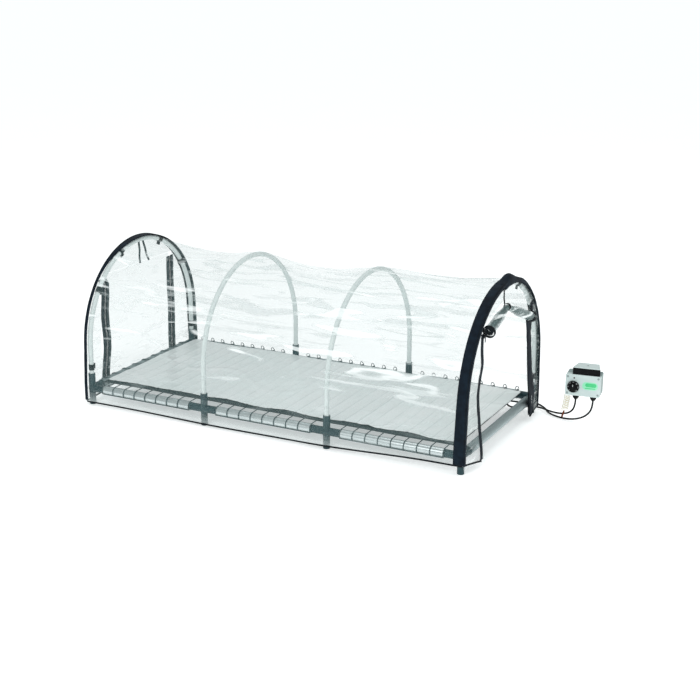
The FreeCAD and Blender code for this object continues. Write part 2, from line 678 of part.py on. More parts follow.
def mat_lead_points():
    gland = world(GLAND_X[0], GLAND_Y, -CASE_HEIGHT / 2 - GLAND_LENGTH)
    joint = Vector(JOINT.x, JOINT.y + JOINT_SIZE.y / 2, JOINT.z)
    return [
        gland,
        Vector(gland.x, gland.y, 58),
        Vector(818, 275, 32),
        Vector(782, 285, 21),
        Vector(744, 302, 17.5),
        Vector(715, 326, 14),
        Vector(697, 349, 7),
        Vector(665, 361, 4),
        Vector(634, 346, 4),
        Vector(614, 318, 5),
        Vector(607, 284, 17),
        Vector(602.5, 246, 46),
        Vector(joint.x, joint.y + 34, joint.z),
        joint,
    ]


def mains_lead_points():
    gland = world(GLAND_X[1], GLAND_Y, -CASE_HEIGHT / 2 - GLAND_LENGTH)
    return [
        gland,
        Vector(gland.x, gland.y, 60),
        Vector(875, 281, 31),
        Vector(842, 285, 12),
        Vector(802, 291, 4),
        Vector(762, 302, 4),
        Vector(729, 324, 4),
        Vector(710, 358, 4),
        Vector(681, 386, 4),
        Vector(645, 407, 4),
        Vector(607, 421, 4),
        Vector(568, 432, 4),
        Vector(COIL_CENTRE.x + 8, COIL_CENTRE.y + COIL_MEAN_R + CORD_D, 4),
    ]


def coil_shape():
    """The outer shape of the coiled length: turns side by side and on each other."""
    half_band = COIL_TURNS_ACROSS * CORD_D / 2
    height = 0.2 + COIL_LAYERS * CORD_D
    return tube(COIL_CENTRE, Z_AXIS, height, COIL_MEAN_R + half_band, COIL_MEAN_R - half_band)


def build_cords():
    export("mat_lead", cord(mat_lead_points(), CORD_D, "mat_lead"))
    coil = coil_shape()
    export("mains_coil", coil)
    export("mains_lead", cord(mains_lead_points(), CORD_D, "mains_lead").cut(coil))
    top = world(-50.0, 16.0, -CASE_HEIGHT / 2)
    curly = [top, Vector(top.x, top.y, 74), Vector(top.x - 9, top.y + 1, 42)]
    export("sensor_lead", cord(curly, CURLY_D, "sensor_lead"))
    down = unit(curly[-1] - curly[-2])
    export("sensor_bulb", rod(curly[-1], down, 22.0, BULB_D / 2))


def build_plug():
    """A flat two-pin plug lying beside the coil, its cord end against the coil's outer turn."""
    axis_y = COIL_CENTRE.y + COIL_MEAN_R + CORD_D
    axis_z = PLUG_THICK / 2
    start = Vector(COIL_CENTRE.x - 26, axis_y, axis_z)
    relief = Part.makeCone(4.0, 5.5, 30.0, start, -X_AXIS)
    lead_in = rod(start + X_AXIS * 20, -X_AXIS, 21.0, CORD_D / 2).cut(coil_shape())
    body_x = start.x - 28.0
    body = block(body_x, body_x - PLUG_LENGTH, axis_y - PLUG_WIDTH / 2, axis_y + PLUG_WIDTH / 2, 0, PLUG_THICK)
    edges = [e for e in body.Edges if abs(e.tangentAt(e.FirstParameter).z) > 0.9]
    plug = body.makeFillet(6.0, edges).fuse([relief, lead_in])
    for side in (-1, 1):
        root = Vector(body_x - PLUG_LENGTH + 2, axis_y + side * PIN_SPACING / 2, axis_z)
        plug = plug.fuse(rod(root, -X_AXIS, PIN_LENGTH + 2, PIN_R))
    export("mains_plug", plug.removeSplitter())


build_frame()
build_grid()
build_mat()
build_films()
build_hems()
build_zips()
build_doors()
build_straps()
build_tabs()
build_case()
build_knob()
build_glands()
build_hanger()
build_cords()
build_plug()
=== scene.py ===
import math

import bpy
from mathutils import Matrix, Vector, noise


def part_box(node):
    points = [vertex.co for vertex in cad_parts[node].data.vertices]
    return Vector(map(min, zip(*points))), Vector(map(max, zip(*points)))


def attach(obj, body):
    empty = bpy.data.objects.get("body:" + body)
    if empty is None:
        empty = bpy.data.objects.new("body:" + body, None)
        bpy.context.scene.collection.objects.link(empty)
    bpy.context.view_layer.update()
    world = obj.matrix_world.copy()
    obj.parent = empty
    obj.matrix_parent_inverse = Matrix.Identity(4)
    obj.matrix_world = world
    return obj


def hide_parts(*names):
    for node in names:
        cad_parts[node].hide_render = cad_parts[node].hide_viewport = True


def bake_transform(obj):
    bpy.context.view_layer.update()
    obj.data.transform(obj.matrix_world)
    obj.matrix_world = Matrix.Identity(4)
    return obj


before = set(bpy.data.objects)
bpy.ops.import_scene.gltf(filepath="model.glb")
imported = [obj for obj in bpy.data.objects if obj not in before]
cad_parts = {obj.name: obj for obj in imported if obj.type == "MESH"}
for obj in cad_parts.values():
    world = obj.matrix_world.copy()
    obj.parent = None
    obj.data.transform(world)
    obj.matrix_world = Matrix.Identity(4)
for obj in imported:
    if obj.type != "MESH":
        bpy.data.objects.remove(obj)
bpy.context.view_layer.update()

# Heated propagation tunnel: clear film over four hoops, a foil heating mat on a wire grid, and a
# thermostat box at the rear right. Metres.


# --- measures read from the frame ---------------------------------------------------------------------
def middle(node):
    low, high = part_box(node)
    return (Vector(low) + Vector(high)) / 2


HOOP_X = [middle(f"hoop_{i}").x for i in (1, 2, 3, 4)]
HOOP_TOP = [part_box(f"hoop_{i}")[1][2] for i in (1, 2, 3, 4)]
HOOP_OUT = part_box("hoop_1")[1][1]
SPRING = [top - HOOP_OUT for top in HOOP_TOP]
BOW = HOOP_OUT + 0.0022
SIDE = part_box("cover_roof")[1][1] - 0.0003
END_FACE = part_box("end_film_right")[1][0]
KNEE = 0.080
HEM_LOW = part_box("hem_binding")[0][2]
HEM_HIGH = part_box("hem_binding")[1][2]
DOOR_TOP = 0.426
OPENING_Y = 0.215
ZIP_Y = 0.205
ZIP_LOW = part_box("zip_tapes")[0][2]
ZIP_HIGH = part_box("zip_tapes")[1][2]
BAND_WIDTH = 0.032
ROLL_X = middle("door_roll").x
ROLL_FRONT = Vector((ROLL_X, -0.201, 0.419))
ROLL_TIED = Vector((ROLL_X, -0.052, 0.457))
ROLL_REAR = Vector((ROLL_X, 0.184, 0.369))
BASE = "frame"
DOOR = "left_door"
FILM_BOW = BOW - 0.0006
FILM_PLANE = END_FACE - 0.0002


# --- materials ----------------------------------------------------------------------------------------
class Nodes:
    """A short way to write a material's nodes."""

    def __init__(self, name):
        self.material = bpy.data.materials.new(name)
        self.material.use_nodes = True
        self.tree = self.material.node_tree
        self.shader = self.tree.nodes["Principled BSDF"]

    def add(self, kind, **values):
        node = self.tree.nodes.new(kind)
        for key, value in values.items():
            if key in node.inputs:
                node.inputs[key].default_value = value
            else:
                setattr(node, key, value)
        return node

    def link(self, source, target):
        self.tree.links.new(source, target)

    def set(self, **values):
        for key, value in values.items():
            self.shader.inputs[key.replace("_", " ")].default_value = value

    def place(self, scale=(1, 1, 1), rotation=(0, 0, 0)):
        """Object coordinates, scaled."""
        coordinates = self.add("ShaderNodeTexCoord")
        mapping = self.add("ShaderNodeMapping")
        mapping.inputs["Scale"].default_value = scale
        mapping.inputs["Rotation"].default_value = rotation
        self.link(coordinates.outputs["Object"], mapping.inputs["Vector"])
        return mapping.outputs["Vector"]

    def noise(self, vector, scale, detail=4.0, roughness=0.6, distortion=0.0):
        node = self.add("ShaderNodeTexNoise", Scale=scale, Detail=detail, Roughness=roughness,
                        Distortion=distortion)
        self.link(vector, node.inputs["Vector"])
        return node.outputs["Fac"]

    def ramp(self, factor, *stops):
        node = self.add("ShaderNodeValToRGB")
        elements = node.color_ramp.elements
        while len(elements) < len(stops):
            elements.new(0.5)
        for element, (position, colour) in zip(elements, stops):
            element.position = position
            element.color = (*colour, 1.0) if isinstance(colour, tuple) else (colour, colour, colour, 1.0)
        self.link(factor, node.inputs["Fac"])
        return node.outputs["Color"]

    def mix(self, a, b, factor, blend="MIX"):
        node = self.add("ShaderNodeMix", data_type="RGBA", blend_type=blend)
        sockets = [s for s in node.inputs if s.enabled]
        for socket, value in zip(sockets, (factor, a, b)):
            if isinstance(value, bpy.types.NodeSocket):
                self.link(value, socket)
            elif isinstance(value, tuple):
                socket.default_value = (*value, 1.0)
            else:
                socket.default_value = value
        return [s for s in node.outputs if s.enabled][0]

    def bump(self, height, strength, distance):
        node = self.add("ShaderNodeBump", Strength=strength, Distance=distance)
        self.link(height, node.inputs["Height"])
        self.link(node.outputs["Normal"], self.shader.inputs["Normal"])

    def colour(self, socket):
        self.link(socket, self.shader.inputs["Base Color"])


def plastic(name, dark, light, roughness, grain=900.0, bump=0.15, gloss=0.3):
    """Moulded plastic: a fine grain and slow changes of tone."""
    n = Nodes(name)
    place = n.place()
    n.colour(n.ramp(n.noise(place, 14.0), (0.3, dark), (0.7, light)))
    n.set(Roughness=roughness, Specular_IOR_Level=gloss)
    n.bump(n.noise(place, grain, detail=2.0), bump, 0.0004)
    return n.material


def fabric(name, dark, light, weave=900.0):
    """Woven tape: crossed threads, with lint and creases."""
    n = Nodes(name)
    place = n.place()
    slow = n.ramp(n.noise(place, 40.0, detail=6.0), (0.35, dark), (0.72, light))
    threads = []
    for direction in ("X", "Z"):
        wave = n.add("ShaderNodeTexWave", wave_type="BANDS", bands_direction=direction, Scale=weave / 6.0,
                     Distortion=0.6)
        n.link(place, wave.inputs["Vector"])
        threads.append(wave.outputs["Fac"])
    weave_height = n.add("ShaderNodeMath", operation="MULTIPLY")
    n.link(threads[0], weave_height.inputs[0])
    n.link(threads[1], weave_height.inputs[1])
    n.colour(n.mix(slow, light, n.ramp(weave_height.outputs[0], (0.55, 0.0), (1.0, 0.35))))
    n.set(Roughness=0.82, Sheen_Weight=0.04, Specular_IOR_Level=0.15)
    n.bump(weave_height.outputs[0], 0.35, 0.0004)
    return n.material


def metal(name, dark, light, roughness, brushed=(1, 30, 30)):
    n = Nodes(name)
    place = n.place(brushed)
    n.colour(n.ramp(n.noise(place, 30.0), (0.3, dark), (0.75, light)))
    rough = n.ramp(n.noise(place, 60.0), (0.3, roughness * 0.8), (0.8, min(1.0, roughness * 1.3)))
    n.link(rough, n.shader.inputs["Roughness"])
    n.set(Metallic=1.0)
    n.bump(n.noise(place, 220.0, detail=2.0), 0.05, 0.0003)
    return n.material


def film(name, haze=0.10, highlight_alpha=0.62, scale=(1.0, 5.2, 7.5), turn=0.0, fewer_low_highlights=True):
    """Clear film: nearly transparent, a grey haze, painted highlights as drawn-out white streaks in colour
    and opacity (fewer low down), and a painted pale band at its foot over the shade seen beneath.
    """
    n = Nodes(name)
    place = n.place(scale, (turn, 0, 0))
    # Painted highlights: the folds and lines noise pick out white streaks that stand in for reflections off
    # the film.
    folds = n.noise(place, 4.6, detail=1.6, roughness=0.42, distortion=0.9)
    lines = n.noise(n.place((0.7 * scale[0], 2.0 * scale[1], 2.6 * scale[2]), (turn, 0, 0)), 2.4, detail=1.2,
                    roughness=0.4, distortion=0.7)
    broad_highlight = n.ramp(folds, (0.57, 0.0), (0.67, 1.0))
    thin = n.ramp(lines, (0.60, 0.0), (0.70, 0.7))
    white = n.mix(broad_highlight, thin, 1.0, "SCREEN")
    split = n.add("ShaderNodeSeparateXYZ")
    n.link(n.place(), split.inputs["Vector"])
    height = split.outputs["Z"]
    # The painted highlights thin out low on the walls.
    if fewer_low_highlights:
        white = n.mix(white, n.ramp(height, (0.09, 0.18), (0.27, 1.0)), 1.0, "MULTIPLY")
    # Painted light: the film's foot is whitened and made more opaque, standing in for light over the shade
    # seen beneath the mat.
    foot = n.ramp(height, (0.020, 0.42), (0.058, 0.0))
    n.colour(n.mix((0.20, 0.285, 0.285), (0.96, 1.0, 1.0), n.mix(white, foot, 1.0, "SCREEN")))
    alpha = n.add("ShaderNodeMapRange")
    alpha.inputs["To Min"].default_value = haze
    alpha.inputs["To Max"].default_value = highlight_alpha
    n.link(white, alpha.inputs["Value"])
    most = n.add("ShaderNodeMath", operation="MAXIMUM")
    n.link(alpha.outputs["Result"], most.inputs[0])
    n.link(foot, most.inputs[1])
    n.link(most.outputs[0], n.shader.inputs["Alpha"])
    n.set(Roughness=0.24, IOR=1.45, Specular_IOR_Level=0.35)
    n.bump(folds, 0.10, 0.004)
    return n.material


MATERIALS = {
    "film": film("clear_film", 0.17, 0.66),
    "end_film": film("end_film", 0.17, 0.38, (1.0, 2.0, 7.0), 0.6, False),
    "roll": film("rolled_film", 0.30, 0.80, (2.0, 3.0, 16.0), 0.0, False),
    "navy": fabric("navy_tape", (0.001, 0.004, 0.009), (0.005, 0.014, 0.025)),
    "black_fabric": fabric("black_tape", (0.002, 0.004, 0.006), (0.008, 0.013, 0.017)),
    "slate": plastic("slate_plastic", (0.006, 0.026, 0.034), (0.024, 0.066, 0.076), 0.40),
    "black": plastic("black_plastic", (0.001, 0.0014, 0.002), (0.005, 0.006, 0.007), 0.45, gloss=0.10),
    "white": plastic("white_tube", (0.72, 0.78, 0.77), (0.82, 0.88, 0.87), 0.42, grain=300.0, bump=0.05),
    "box": plastic("box_plastic", (0.22, 0.30, 0.295), (0.29, 0.37, 0.36), 0.45),
    "lid": plastic("lid_plastic", (0.54, 0.64, 0.63), (0.64, 0.73, 0.72), 0.45),
    "plate": plastic("plate_plastic", (0.52, 0.61, 0.60), (0.64, 0.72, 0.71), 0.5),
    "screw": plastic("screw_head", (0.26, 0.32, 0.32), (0.36, 0.42, 0.42), 0.4),
    "green": plastic("green_print", (0.05, 0.56, 0.20), (0.12, 0.70, 0.30), 0.4),
    "green_pale": plastic("green_pale_print", (0.28, 0.76, 0.48), (0.40, 0.86, 0.60), 0.4),
    "mark": plastic("dial_marks", (0.42, 0.46, 0.46), (0.60, 0.64, 0.64), 0.5),
    "lamp": plastic("lamp_lens", (0.03, 0.006, 0.006), (0.06, 0.012, 0.010), 0.15, grain=100.0, bump=0.0),
    "board": plastic("board", (0.01, 0.10, 0.04), (0.02, 0.16, 0.07), 0.4),
    "tube": metal("aluminium_tube", (0.56, 0.62, 0.63), (0.80, 0.84, 0.84), 0.34),
    # Painted shade: a darker copy of the aluminium tube for the rear and end rails, which stand in shade.
    "tube_shaded": metal("aluminium_painted_shade", (0.30, 0.36, 0.37), (0.46, 0.52, 0.53), 0.5),
    "wire": metal("steel_wire", (0.05, 0.075, 0.080), (0.16, 0.20, 0.21), 0.42, (30, 30, 30)),
    "steel": metal("steel", (0.45, 0.47, 0.48), (0.65, 0.67, 0.68), 0.3, (20, 20, 20)),
    "dark_metal": metal("dark_metal", (0.02, 0.025, 0.03), (0.06, 0.07, 0.08), 0.4, (20, 20, 20)),
    "copper": metal("copper_bulb", (0.09, 0.022, 0.010), (0.20, 0.055, 0.026), 0.35, (20, 20, 20)),
    "cord": plastic("black_cord", (0.001, 0.0014, 0.002), (0.006, 0.006, 0.007), 0.5, 500.0, gloss=0.12),
    "cream": plastic("cream_cord", (0.76, 0.71, 0.56), (0.90, 0.86, 0.73), 0.4, grain=300.0),
}


def mesh_piece(name, points, faces, material, body=BASE, smooth=True):
    """A visible piece that rides a body, or no body when none is given."""
    mesh = bpy.data.meshes.new(name)
    mesh.from_pydata([tuple(p) for p in points], [], faces)
    mesh.update()
    piece = bpy.data.objects.new(name, mesh)
    bpy.context.scene.collection.objects.link(piece)
    mesh.materials.append(MATERIALS[material])
    for polygon in mesh.polygons:
        polygon.use_smooth = smooth
    if body:
        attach(piece, body)
    return piece


def grid(point, across, along):
    """Points and four-sided faces of a sheet: point(u, v) with u and v from 0 to 1."""
    points = [point(i / across, j / along) for j in range(along + 1) for i in range(across + 1)]
    faces = []
    for j in range(along):
        for i in range(across):
            a = j * (across + 1) + i
            faces.append((a, a + 1, a + across + 2, a + across + 1))
    return points, faces


def sheet_piece(name, point, across, along, material, body=BASE, thickness=0.0):
    """A sheet through point(u, v), as a single skin unless it has a thickness."""
    points, faces = grid(point, across, along)
    piece = mesh_piece(name, points, faces, material, body)
    if thickness:
        solid = piece.modifiers.new("thickness", "SOLIDIFY")
        solid.thickness = thickness
        solid.offset = 0.0
    return piece


def ring_faces(rings, sides, first=0):
    """Faces that join rings of points into a bar with closed ends."""
    faces = []
    for ring in range(rings - 1):
        for k in range(sides):
            a = first + ring * sides + k
            b = first + ring * sides + (k + 1) % sides
            faces.append((a, b, b + sides, a + sides))
    faces.append(tuple(range(first, first + sides))[::-1])
    faces.append(tuple(range(first + (rings - 1) * sides, first + rings * sides)))
    return faces


def bar_piece(name, path, radius, material, sides):
    """A round bar through points, with flat ends."""
    points = []
    count = len(path)
    for i, centre in enumerate(path):
        before = path[max(0, i - 1)]
        after = path[min(count - 1, i + 1)]
        along = (after - before).normalized()
        side = along.orthogonal() if i == 0 else (last - along * last.dot(along))
        side.normalize()
        last = side
        up = along.cross(side)
        for k in range(sides):
            angle = 2 * math.pi * k / sides
            points.append(centre + side * (radius * math.cos(angle)) + up * (radius * math.sin(angle)))
    return mesh_piece(name, points, ring_faces(count, sides), material)


def repaint(material, *starts):
    """Give a look to each node whose name starts with one of these."""
    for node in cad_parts:
        if node.startswith(starts):
            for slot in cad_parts[node].material_slots:
                slot.material = MATERIALS[material]


def smooth_step(value):
    value = max(0.0, min(1.0, value))
    return value * value * (3 - 2 * value)


# --- camera, light, floor -----------------------------------------------------------------------------
def aim(place, target):
    """The rotation that looks from a place at a target."""
    return (Vector(target) - Vector(place)).to_track_quat("-Z", "Y").to_euler()


camera_data = bpy.data.cameras.new("camera")
camera = bpy.data.objects.new("camera", camera_data)
bpy.context.scene.collection.objects.link(camera)
camera.location = (2.0830, -3.8806, 1.5512)
camera.rotation_euler = aim(camera.location, (0, 0, 0.2))
camera_data.sensor_width = 36.0
camera_data.lens = 70.8
camera_data.shift_x = 0.0571
camera_data.shift_y = 0.0017
camera_data.clip_end = 60.0
bpy.context.scene.camera = camera


def area_light(name, place, target, size, power):
    data = bpy.data.lights.new(name, "AREA")
    data.shape = "RECTANGLE"
    data.size = size[0]
    data.size_y = size[1]
    data.energy = power
    light = bpy.data.objects.new(name, data)
    bpy.context.scene.collection.objects.link(light)
    light.location = place
    light.rotation_euler = aim(place, target)


area_light("key", (0.2, -3.6, 2.5), (0, 0, 0.2), (2.2, 1.4), 62)
area_light("top", (0.2, 0.6, 3.4), (0, 0, 0), (3.0, 1.6), 30)
area_light("rim", (3.4, 1.6, 2.0), (0, 0, 0.2), (1.6, 1.6), 10)

world = bpy.data.worlds.new("studio")
world.use_nodes = True
world_light = world.node_tree.nodes["Background"]
world_light.inputs["Color"].default_value = (0.93, 0.98, 0.98, 1.0)
world_light.inputs["Strength"].default_value = 0.56
world_seen = world.node_tree.nodes.new("ShaderNodeBackground")
world_seen.inputs["Color"].default_value = (0.98, 0.99, 0.99, 1.0)
world_seen.inputs["Strength"].default_value = 1.0
ray = world.node_tree.nodes.new("ShaderNodeLightPath")
world_mix = world.node_tree.nodes.new("ShaderNodeMixShader")
world_link = world.node_tree.links.new
world_link(ray.outputs["Is Camera Ray"], world_mix.inputs[0])
world_link(world_light.outputs[0], world_mix.inputs[1])
world_link(world_seen.outputs[0], world_mix.inputs[2])
world_link(world_mix.outputs[0], world.node_tree.nodes["World Output"].inputs["Surface"])
bpy.context.scene.world = world
bpy.context.scene.view_settings.view_transform = "Standard"

floor_mesh = bpy.data.meshes.new("floor")
floor_mesh.from_pydata([(-30, -30, 0), (30, -30, 0), (30, 30, 0), (-30, 30, 0)], [], [(0, 1, 2, 3)])
floor = bpy.data.objects.new("floor", floor_mesh)
bpy.context.scene.collection.objects.link(floor)
floor.location.z = -0.0005
floor_look = Nodes("floor")
floor_look.colour(floor_look.ramp(floor_look.noise(floor_look.place(), 3.0), (0.3, 0.93), (0.7, 0.95)))
floor_look.set(Roughness=0.9, Emission_Color=(0.97, 1.0, 1.0, 1.0), Emission_Strength=0.50)
floor_mesh.materials.append(floor_look.material)


# --- cords --------------------------------------------------------------------------------------------
def smooth_route(name, points, resolution):
    """The smooth line that a route's points guide."""
    data = bpy.data.curves.new(name, "CURVE")
    data.dimensions = "3D"
    spline = data.splines.new("NURBS")
    spline.points.add(len(points) - 1)
    for slot, point in zip(spline.points, points):
        slot.co = (*point, 1.0)
    spline.order_u = 3
    spline.use_endpoint_u = True
    spline.resolution_u = resolution
    return data


def cord_curve(name, points, diameter, material):
    """A round cord along a route."""
    data = smooth_route(name, points, 10)
    data.bevel_depth = diameter / 2
    data.bevel_resolution = 4
    data.use_fill_caps = True
    data.materials.append(MATERIALS[material])
    piece = bpy.data.objects.new(name, data)
    bpy.context.scene.collection.objects.link(piece)
    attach(piece, BASE)
    return piece


def line_of(name, points):
    """Close points along a route's smooth line."""
    holder = bpy.data.objects.new(name, smooth_route(name, points, 24))
    mesh = bpy.data.meshes.new_from_object(holder)
    line = [v.co.copy() for v in mesh.vertices]
    bpy.data.meshes.remove(mesh)
    bpy.data.objects.remove(holder)
    return line


CASE_YAW = math.radians(8.0)
FACE = Vector((0.865, 0.249, 0.141))


def on_box(x, y, z):
    """A point of the thermostat box: along the face, into the box and up."""
    c, s = math.cos(CASE_YAW), math.sin(CASE_YAW)
    return FACE + Vector((x * c - y * s, x * s + y * c, z))


CASE_BOTTOM = -0.0355
CORD_EXIT = -0.0505
mat_exit = on_box(-0.024, 0.026, CORD_EXIT)
mains_exit = on_box(0.032, 0.026, CORD_EXIT)
CORD_D = 0.006

mat_route = [
    mat_exit,
    (mat_exit.x, mat_exit.y, 0.058),
    (0.818, 0.275, 0.032),
    (0.782, 0.285, 0.021),
    (0.744, 0.302, 0.0175),
    (0.715, 0.326, 0.014),
    (0.697, 0.349, 0.007),
    (0.665, 0.361, 0.004),
    (0.634, 0.346, 0.004),
    (0.614, 0.318, 0.005),
    (0.607, 0.284, 0.017),
    (0.6025, 0.246, 0.046),
    (0.6014, 0.206, 0.066),
    (0.6014, 0.172, 0.066),
]
mat_lead = cord_curve("mat_lead_cord", mat_route, CORD_D, "cord")
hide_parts("mat_lead")

COIL = middle("mains_coil")
COIL_R = 0.034
mains_route = [
    mains_exit,
    (mains_exit.x, mains_exit.y, 0.060),
    (0.875, 0.281, 0.031),
    (0.842, 0.285, 0.012),
    (0.802, 0.291, 0.004),
    (0.762, 0.302, 0.004),
    (0.729, 0.324, 0.004),
    (0.710, 0.358, 0.004),
    (0.681, 0.386, 0.004),
    (0.645, 0.407, 0.004),
    (0.607, 0.421, 0.004),
    (0.568, 0.432, 0.004),
]
STEPS = 12
turns = []
for layer, height in ((0, 0.0032), (1, 0.0092)):
    radii = [COIL_R + 0.006, COIL_R, COIL_R - 0.006]
    if layer:
        radii.reverse()
    for radius in radii:
        for step in range(STEPS):
            turns.append((radius, height, step))
count = len(turns)
for index, (radius, height, step) in enumerate(turns):
    ahead = turns[min(count - 1, index + STEPS)]
    blend = smooth_step((step - STEPS / 2) / (STEPS / 2)) if index + STEPS < count else 0.0
    size = (radius + (ahead[0] - radius) * blend) / math.cos(math.pi / STEPS) * 0.985
    lift = height + (ahead[1] - height) * blend
    angle = math.pi / 2 + 2 * math.pi * step / STEPS
    mains_route.append((COIL.x + size * math.cos(angle), COIL.y + size * math.sin(angle), lift))
plug_low, plug_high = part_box("mains_plug")
plug_y = (plug_low[1] + plug_high[1]) / 2
mains_route += [
    (COIL.x + 0.002, plug_y, 0.0090),
    (COIL.x - 0.014, plug_y, 0.0080),
    (plug_high[0] - 0.024, plug_y, 0.0070),
]
mains_lead = cord_curve("mains_lead_cord", mains_route, CORD_D, "cord")
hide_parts("mains_lead", "mains_coil")

curly_top = on_box(-0.050, 0.016, CASE_BOTTOM)
curly_route = [
    curly_top,
    (curly_top.x, curly_top.y, 0.074),
    (curly_top.x - 0.009, curly_top.y + 0.001, 0.042),
]
curly_axis = line_of("curly_axis", curly_route)
CURLY_TURNS = 9
CURLY_WIRE = 0.0022
CURLY_REACH = 0.0102
total = CURLY_TURNS * STEPS
helix = [curly_top]
for k in range(total + 1):
    share = 0.07 + 0.86 * k / total
    place = share * (len(curly_axis) - 1)
    low = min(int(place), len(curly_axis) - 2)
    centre = curly_axis[low].lerp(curly_axis[low + 1], place - low)
    grow = math.sin(math.pi / 2 * min(1.0, (k + 1) / 6, (total - k + 1) / 6))
    angle = 2 * math.pi * k / STEPS
    size = CURLY_REACH * grow
    helix.append(centre + Vector((size * math.cos(angle), size * math.sin(angle), 0)))
helix.append(curly_axis[-1])
curly = cord_curve("sensor_lead_curl", [tuple(p) for p in helix], CURLY_WIRE, "cream")
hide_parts("sensor_lead")
repaint("copper", "sensor_bulb")
repaint("black", "mains_plug")


# --- clear film ---------------------------------------------------------------------------------------
def hem_height(x, front):
    """Lower edge of the long walls: it lifts towards the open end's front corner."""
    low = HEM_LOW + 0.001
    if front:
        lift = smooth_step((x - 0.15) / 0.45) * 0.020
        return low - 0.004 + lift + 0.0015 * math.sin(x * 9.0)
    return low + smooth_step((x - 0.35) / 0.3) * 0.008 + 0.0015 * math.sin(x * 7.0 + 1.0)


def arch_at(x):
    """Where the bend starts, and how far the film has sunk between two hoops: 0 at a hoop, 1 half way."""
    if x <= HOOP_X[0]:
        return SPRING[0], 0.0, 0
    if x >= HOOP_X[3]:
        return SPRING[3], 0.0, 2
    bay = max(i for i in (0, 1, 2) if HOOP_X[i] <= x)
    share = (x - HOOP_X[bay]) / (HOOP_X[bay + 1] - HOOP_X[bay])
    return SPRING[bay] + (SPRING[bay + 1] - SPRING[bay]) * share, math.sin(math.pi * share), bay


def profile(share, spring, bow, base):
    """A point on the cover's outline, from the front foot (0) over the crown (0.5) to the rear foot (1)."""
    down = spring - KNEE
    hypotenuse = math.hypot(SIDE, down)
    straight = math.sqrt(hypotenuse ** 2 - bow ** 2)
    touch = math.atan2(-down, SIDE) + math.acos(bow / hypotenuse)
    half_arc = math.pi / 2 - touch
    wall = KNEE - base
    total = bow * half_arc + straight + wall
    sign = -1.0 if share < 0.5 else 1.0
    distance = abs(share - 0.5) * 2 * total
    if distance <= bow * half_arc:
        angle = distance / bow
        return Vector((0, sign * bow * math.sin(angle), spring + bow * math.cos(angle))), \
            Vector((0, sign * math.sin(angle), math.cos(angle)))
    normal = Vector((0, sign * math.cos(touch), math.sin(touch)))
    start = Vector((0, sign * bow * math.cos(touch), spring + bow * math.sin(touch)))
    distance -= bow * half_arc
    if distance <= straight:
        end = Vector((0, sign * SIDE, KNEE))
        return start.lerp(end, distance / straight), normal
    distance -= straight
    return Vector((0, sign * SIDE, KNEE - distance)), Vector((0, sign, 0))


def cover_point(u, v):
    x = (-END_FACE + 0.0004) + (2 * END_FACE - 0.0008) * u
    spring, sunk, bay = arch_at(x)
    front = v < 0.5
    point, normal = profile(v, spring, BOW, hem_height(x, front))
    crown = max(0.0, normal.z)
    depth = (0.027, 0.030, 0.015)[bay] * (crown ** 1.5) + 0.009 * (1 - crown) * (point.z > KNEE)
    ripple = noise.noise(Vector((x * 5.0, point.y * 9.0, point.z * 26.0 + bay))) * 0.0045
    ripple += noise.noise(Vector((x * 12.0, point.y * 20.0, point.z * 55.0))) * 0.0016
    fan = 0.0
    if x > HOOP_X[2]:
        near = (x - HOOP_X[2]) / (HOOP_X[3] - HOOP_X[2])
        fan = 0.0035 * math.sin(v * 150.0 + near * 5.0) * smooth_step(near)
        fan *= 1 - smooth_step((near - 0.86) / 0.14)
    push = -depth * sunk + (ripple + fan) * min(1.0, sunk * 2.0) * (0.25 if point.z < KNEE else 1.0)
    point = point + normal * push
    return Vector((x, point.y, point.z))


cover = sheet_piece("cover_film", cover_point, 150, 190, "film")
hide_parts("cover_roof")


# The loose zips at the open end swing out: how far, at which height, and how far up and down that reaches.
FRONT_SWINGS = ((-0.030, 0.215, 0.06), (0.045, 0.03, 0.07), (0.012, 0.32, 0.03))
REAR_SWINGS = ((0.028, 0.03, 0.08), (-0.012, 0.26, 0.08))
SWING_ALONG = 0.30
SWING_OUT = 0.36


def edge_shift(end, side, height):
    """How far a zip and the film's free edge wander from straight: along the end and out of it."""
    share = (height - ZIP_LOW) / (ZIP_HIGH - ZIP_LOW)
    if end > 0:
        hang = 1 - smooth_step((share - 0.80) / 0.15)
        swings = FRONT_SWINGS if side < 0 else REAR_SWINGS
        wave = sum(size * math.exp(-((height - level) / reach) ** 2) for size, level, reach in swings)
        return SWING_ALONG * wave * hang, SWING_OUT * wave * hang
    hold = math.sin(math.pi * max(0.0, min(1.0, share))) ** 0.5
    wave = 0.0055 * math.sin(share * 11.0 + (0.6 if side < 0 else 2.4)) * hold
    if side < 0:
        lean = smooth_step(share * 1.6) * (1 - smooth_step((share - 0.94) / 0.06))
        return wave - 0.012 * lean, 0.0
    return wave * 0.25, 0.0


def door_line(y):
    """The header's lower edge at the open end, just above the rolled door."""
    if y < ROLL_TIED.y:
        share = (y - ROLL_FRONT.y) / (ROLL_TIED.y - ROLL_FRONT.y)
        return ROLL_FRONT.z + (ROLL_TIED.z - ROLL_FRONT.z) * share + 0.017
    share = min(1.0, (y - ROLL_TIED.y) / (ROLL_REAR.y - ROLL_TIED.y))
    return ROLL_TIED.z + (ROLL_REAR.z - ROLL_TIED.z) * share + 0.017


def wall_y(height, spring):
    """Half width of the cover's outline at a height."""
    low, high = 0.5, 1.0
    for _ in range(30):
        share = (low + high) / 2
        point = profile(share, spring, FILM_BOW, FILM_FOOT)[0]
        if point.z > height:
            low = share
        else:
            high = share
    return profile(share, spring, FILM_BOW, FILM_FOOT)[0].y


FILM_FOOT = HEM_HIGH - 0.002
ARCH_TOP_Z = SPRING[3] + math.sqrt(FILM_BOW ** 2 - OPENING_Y ** 2)


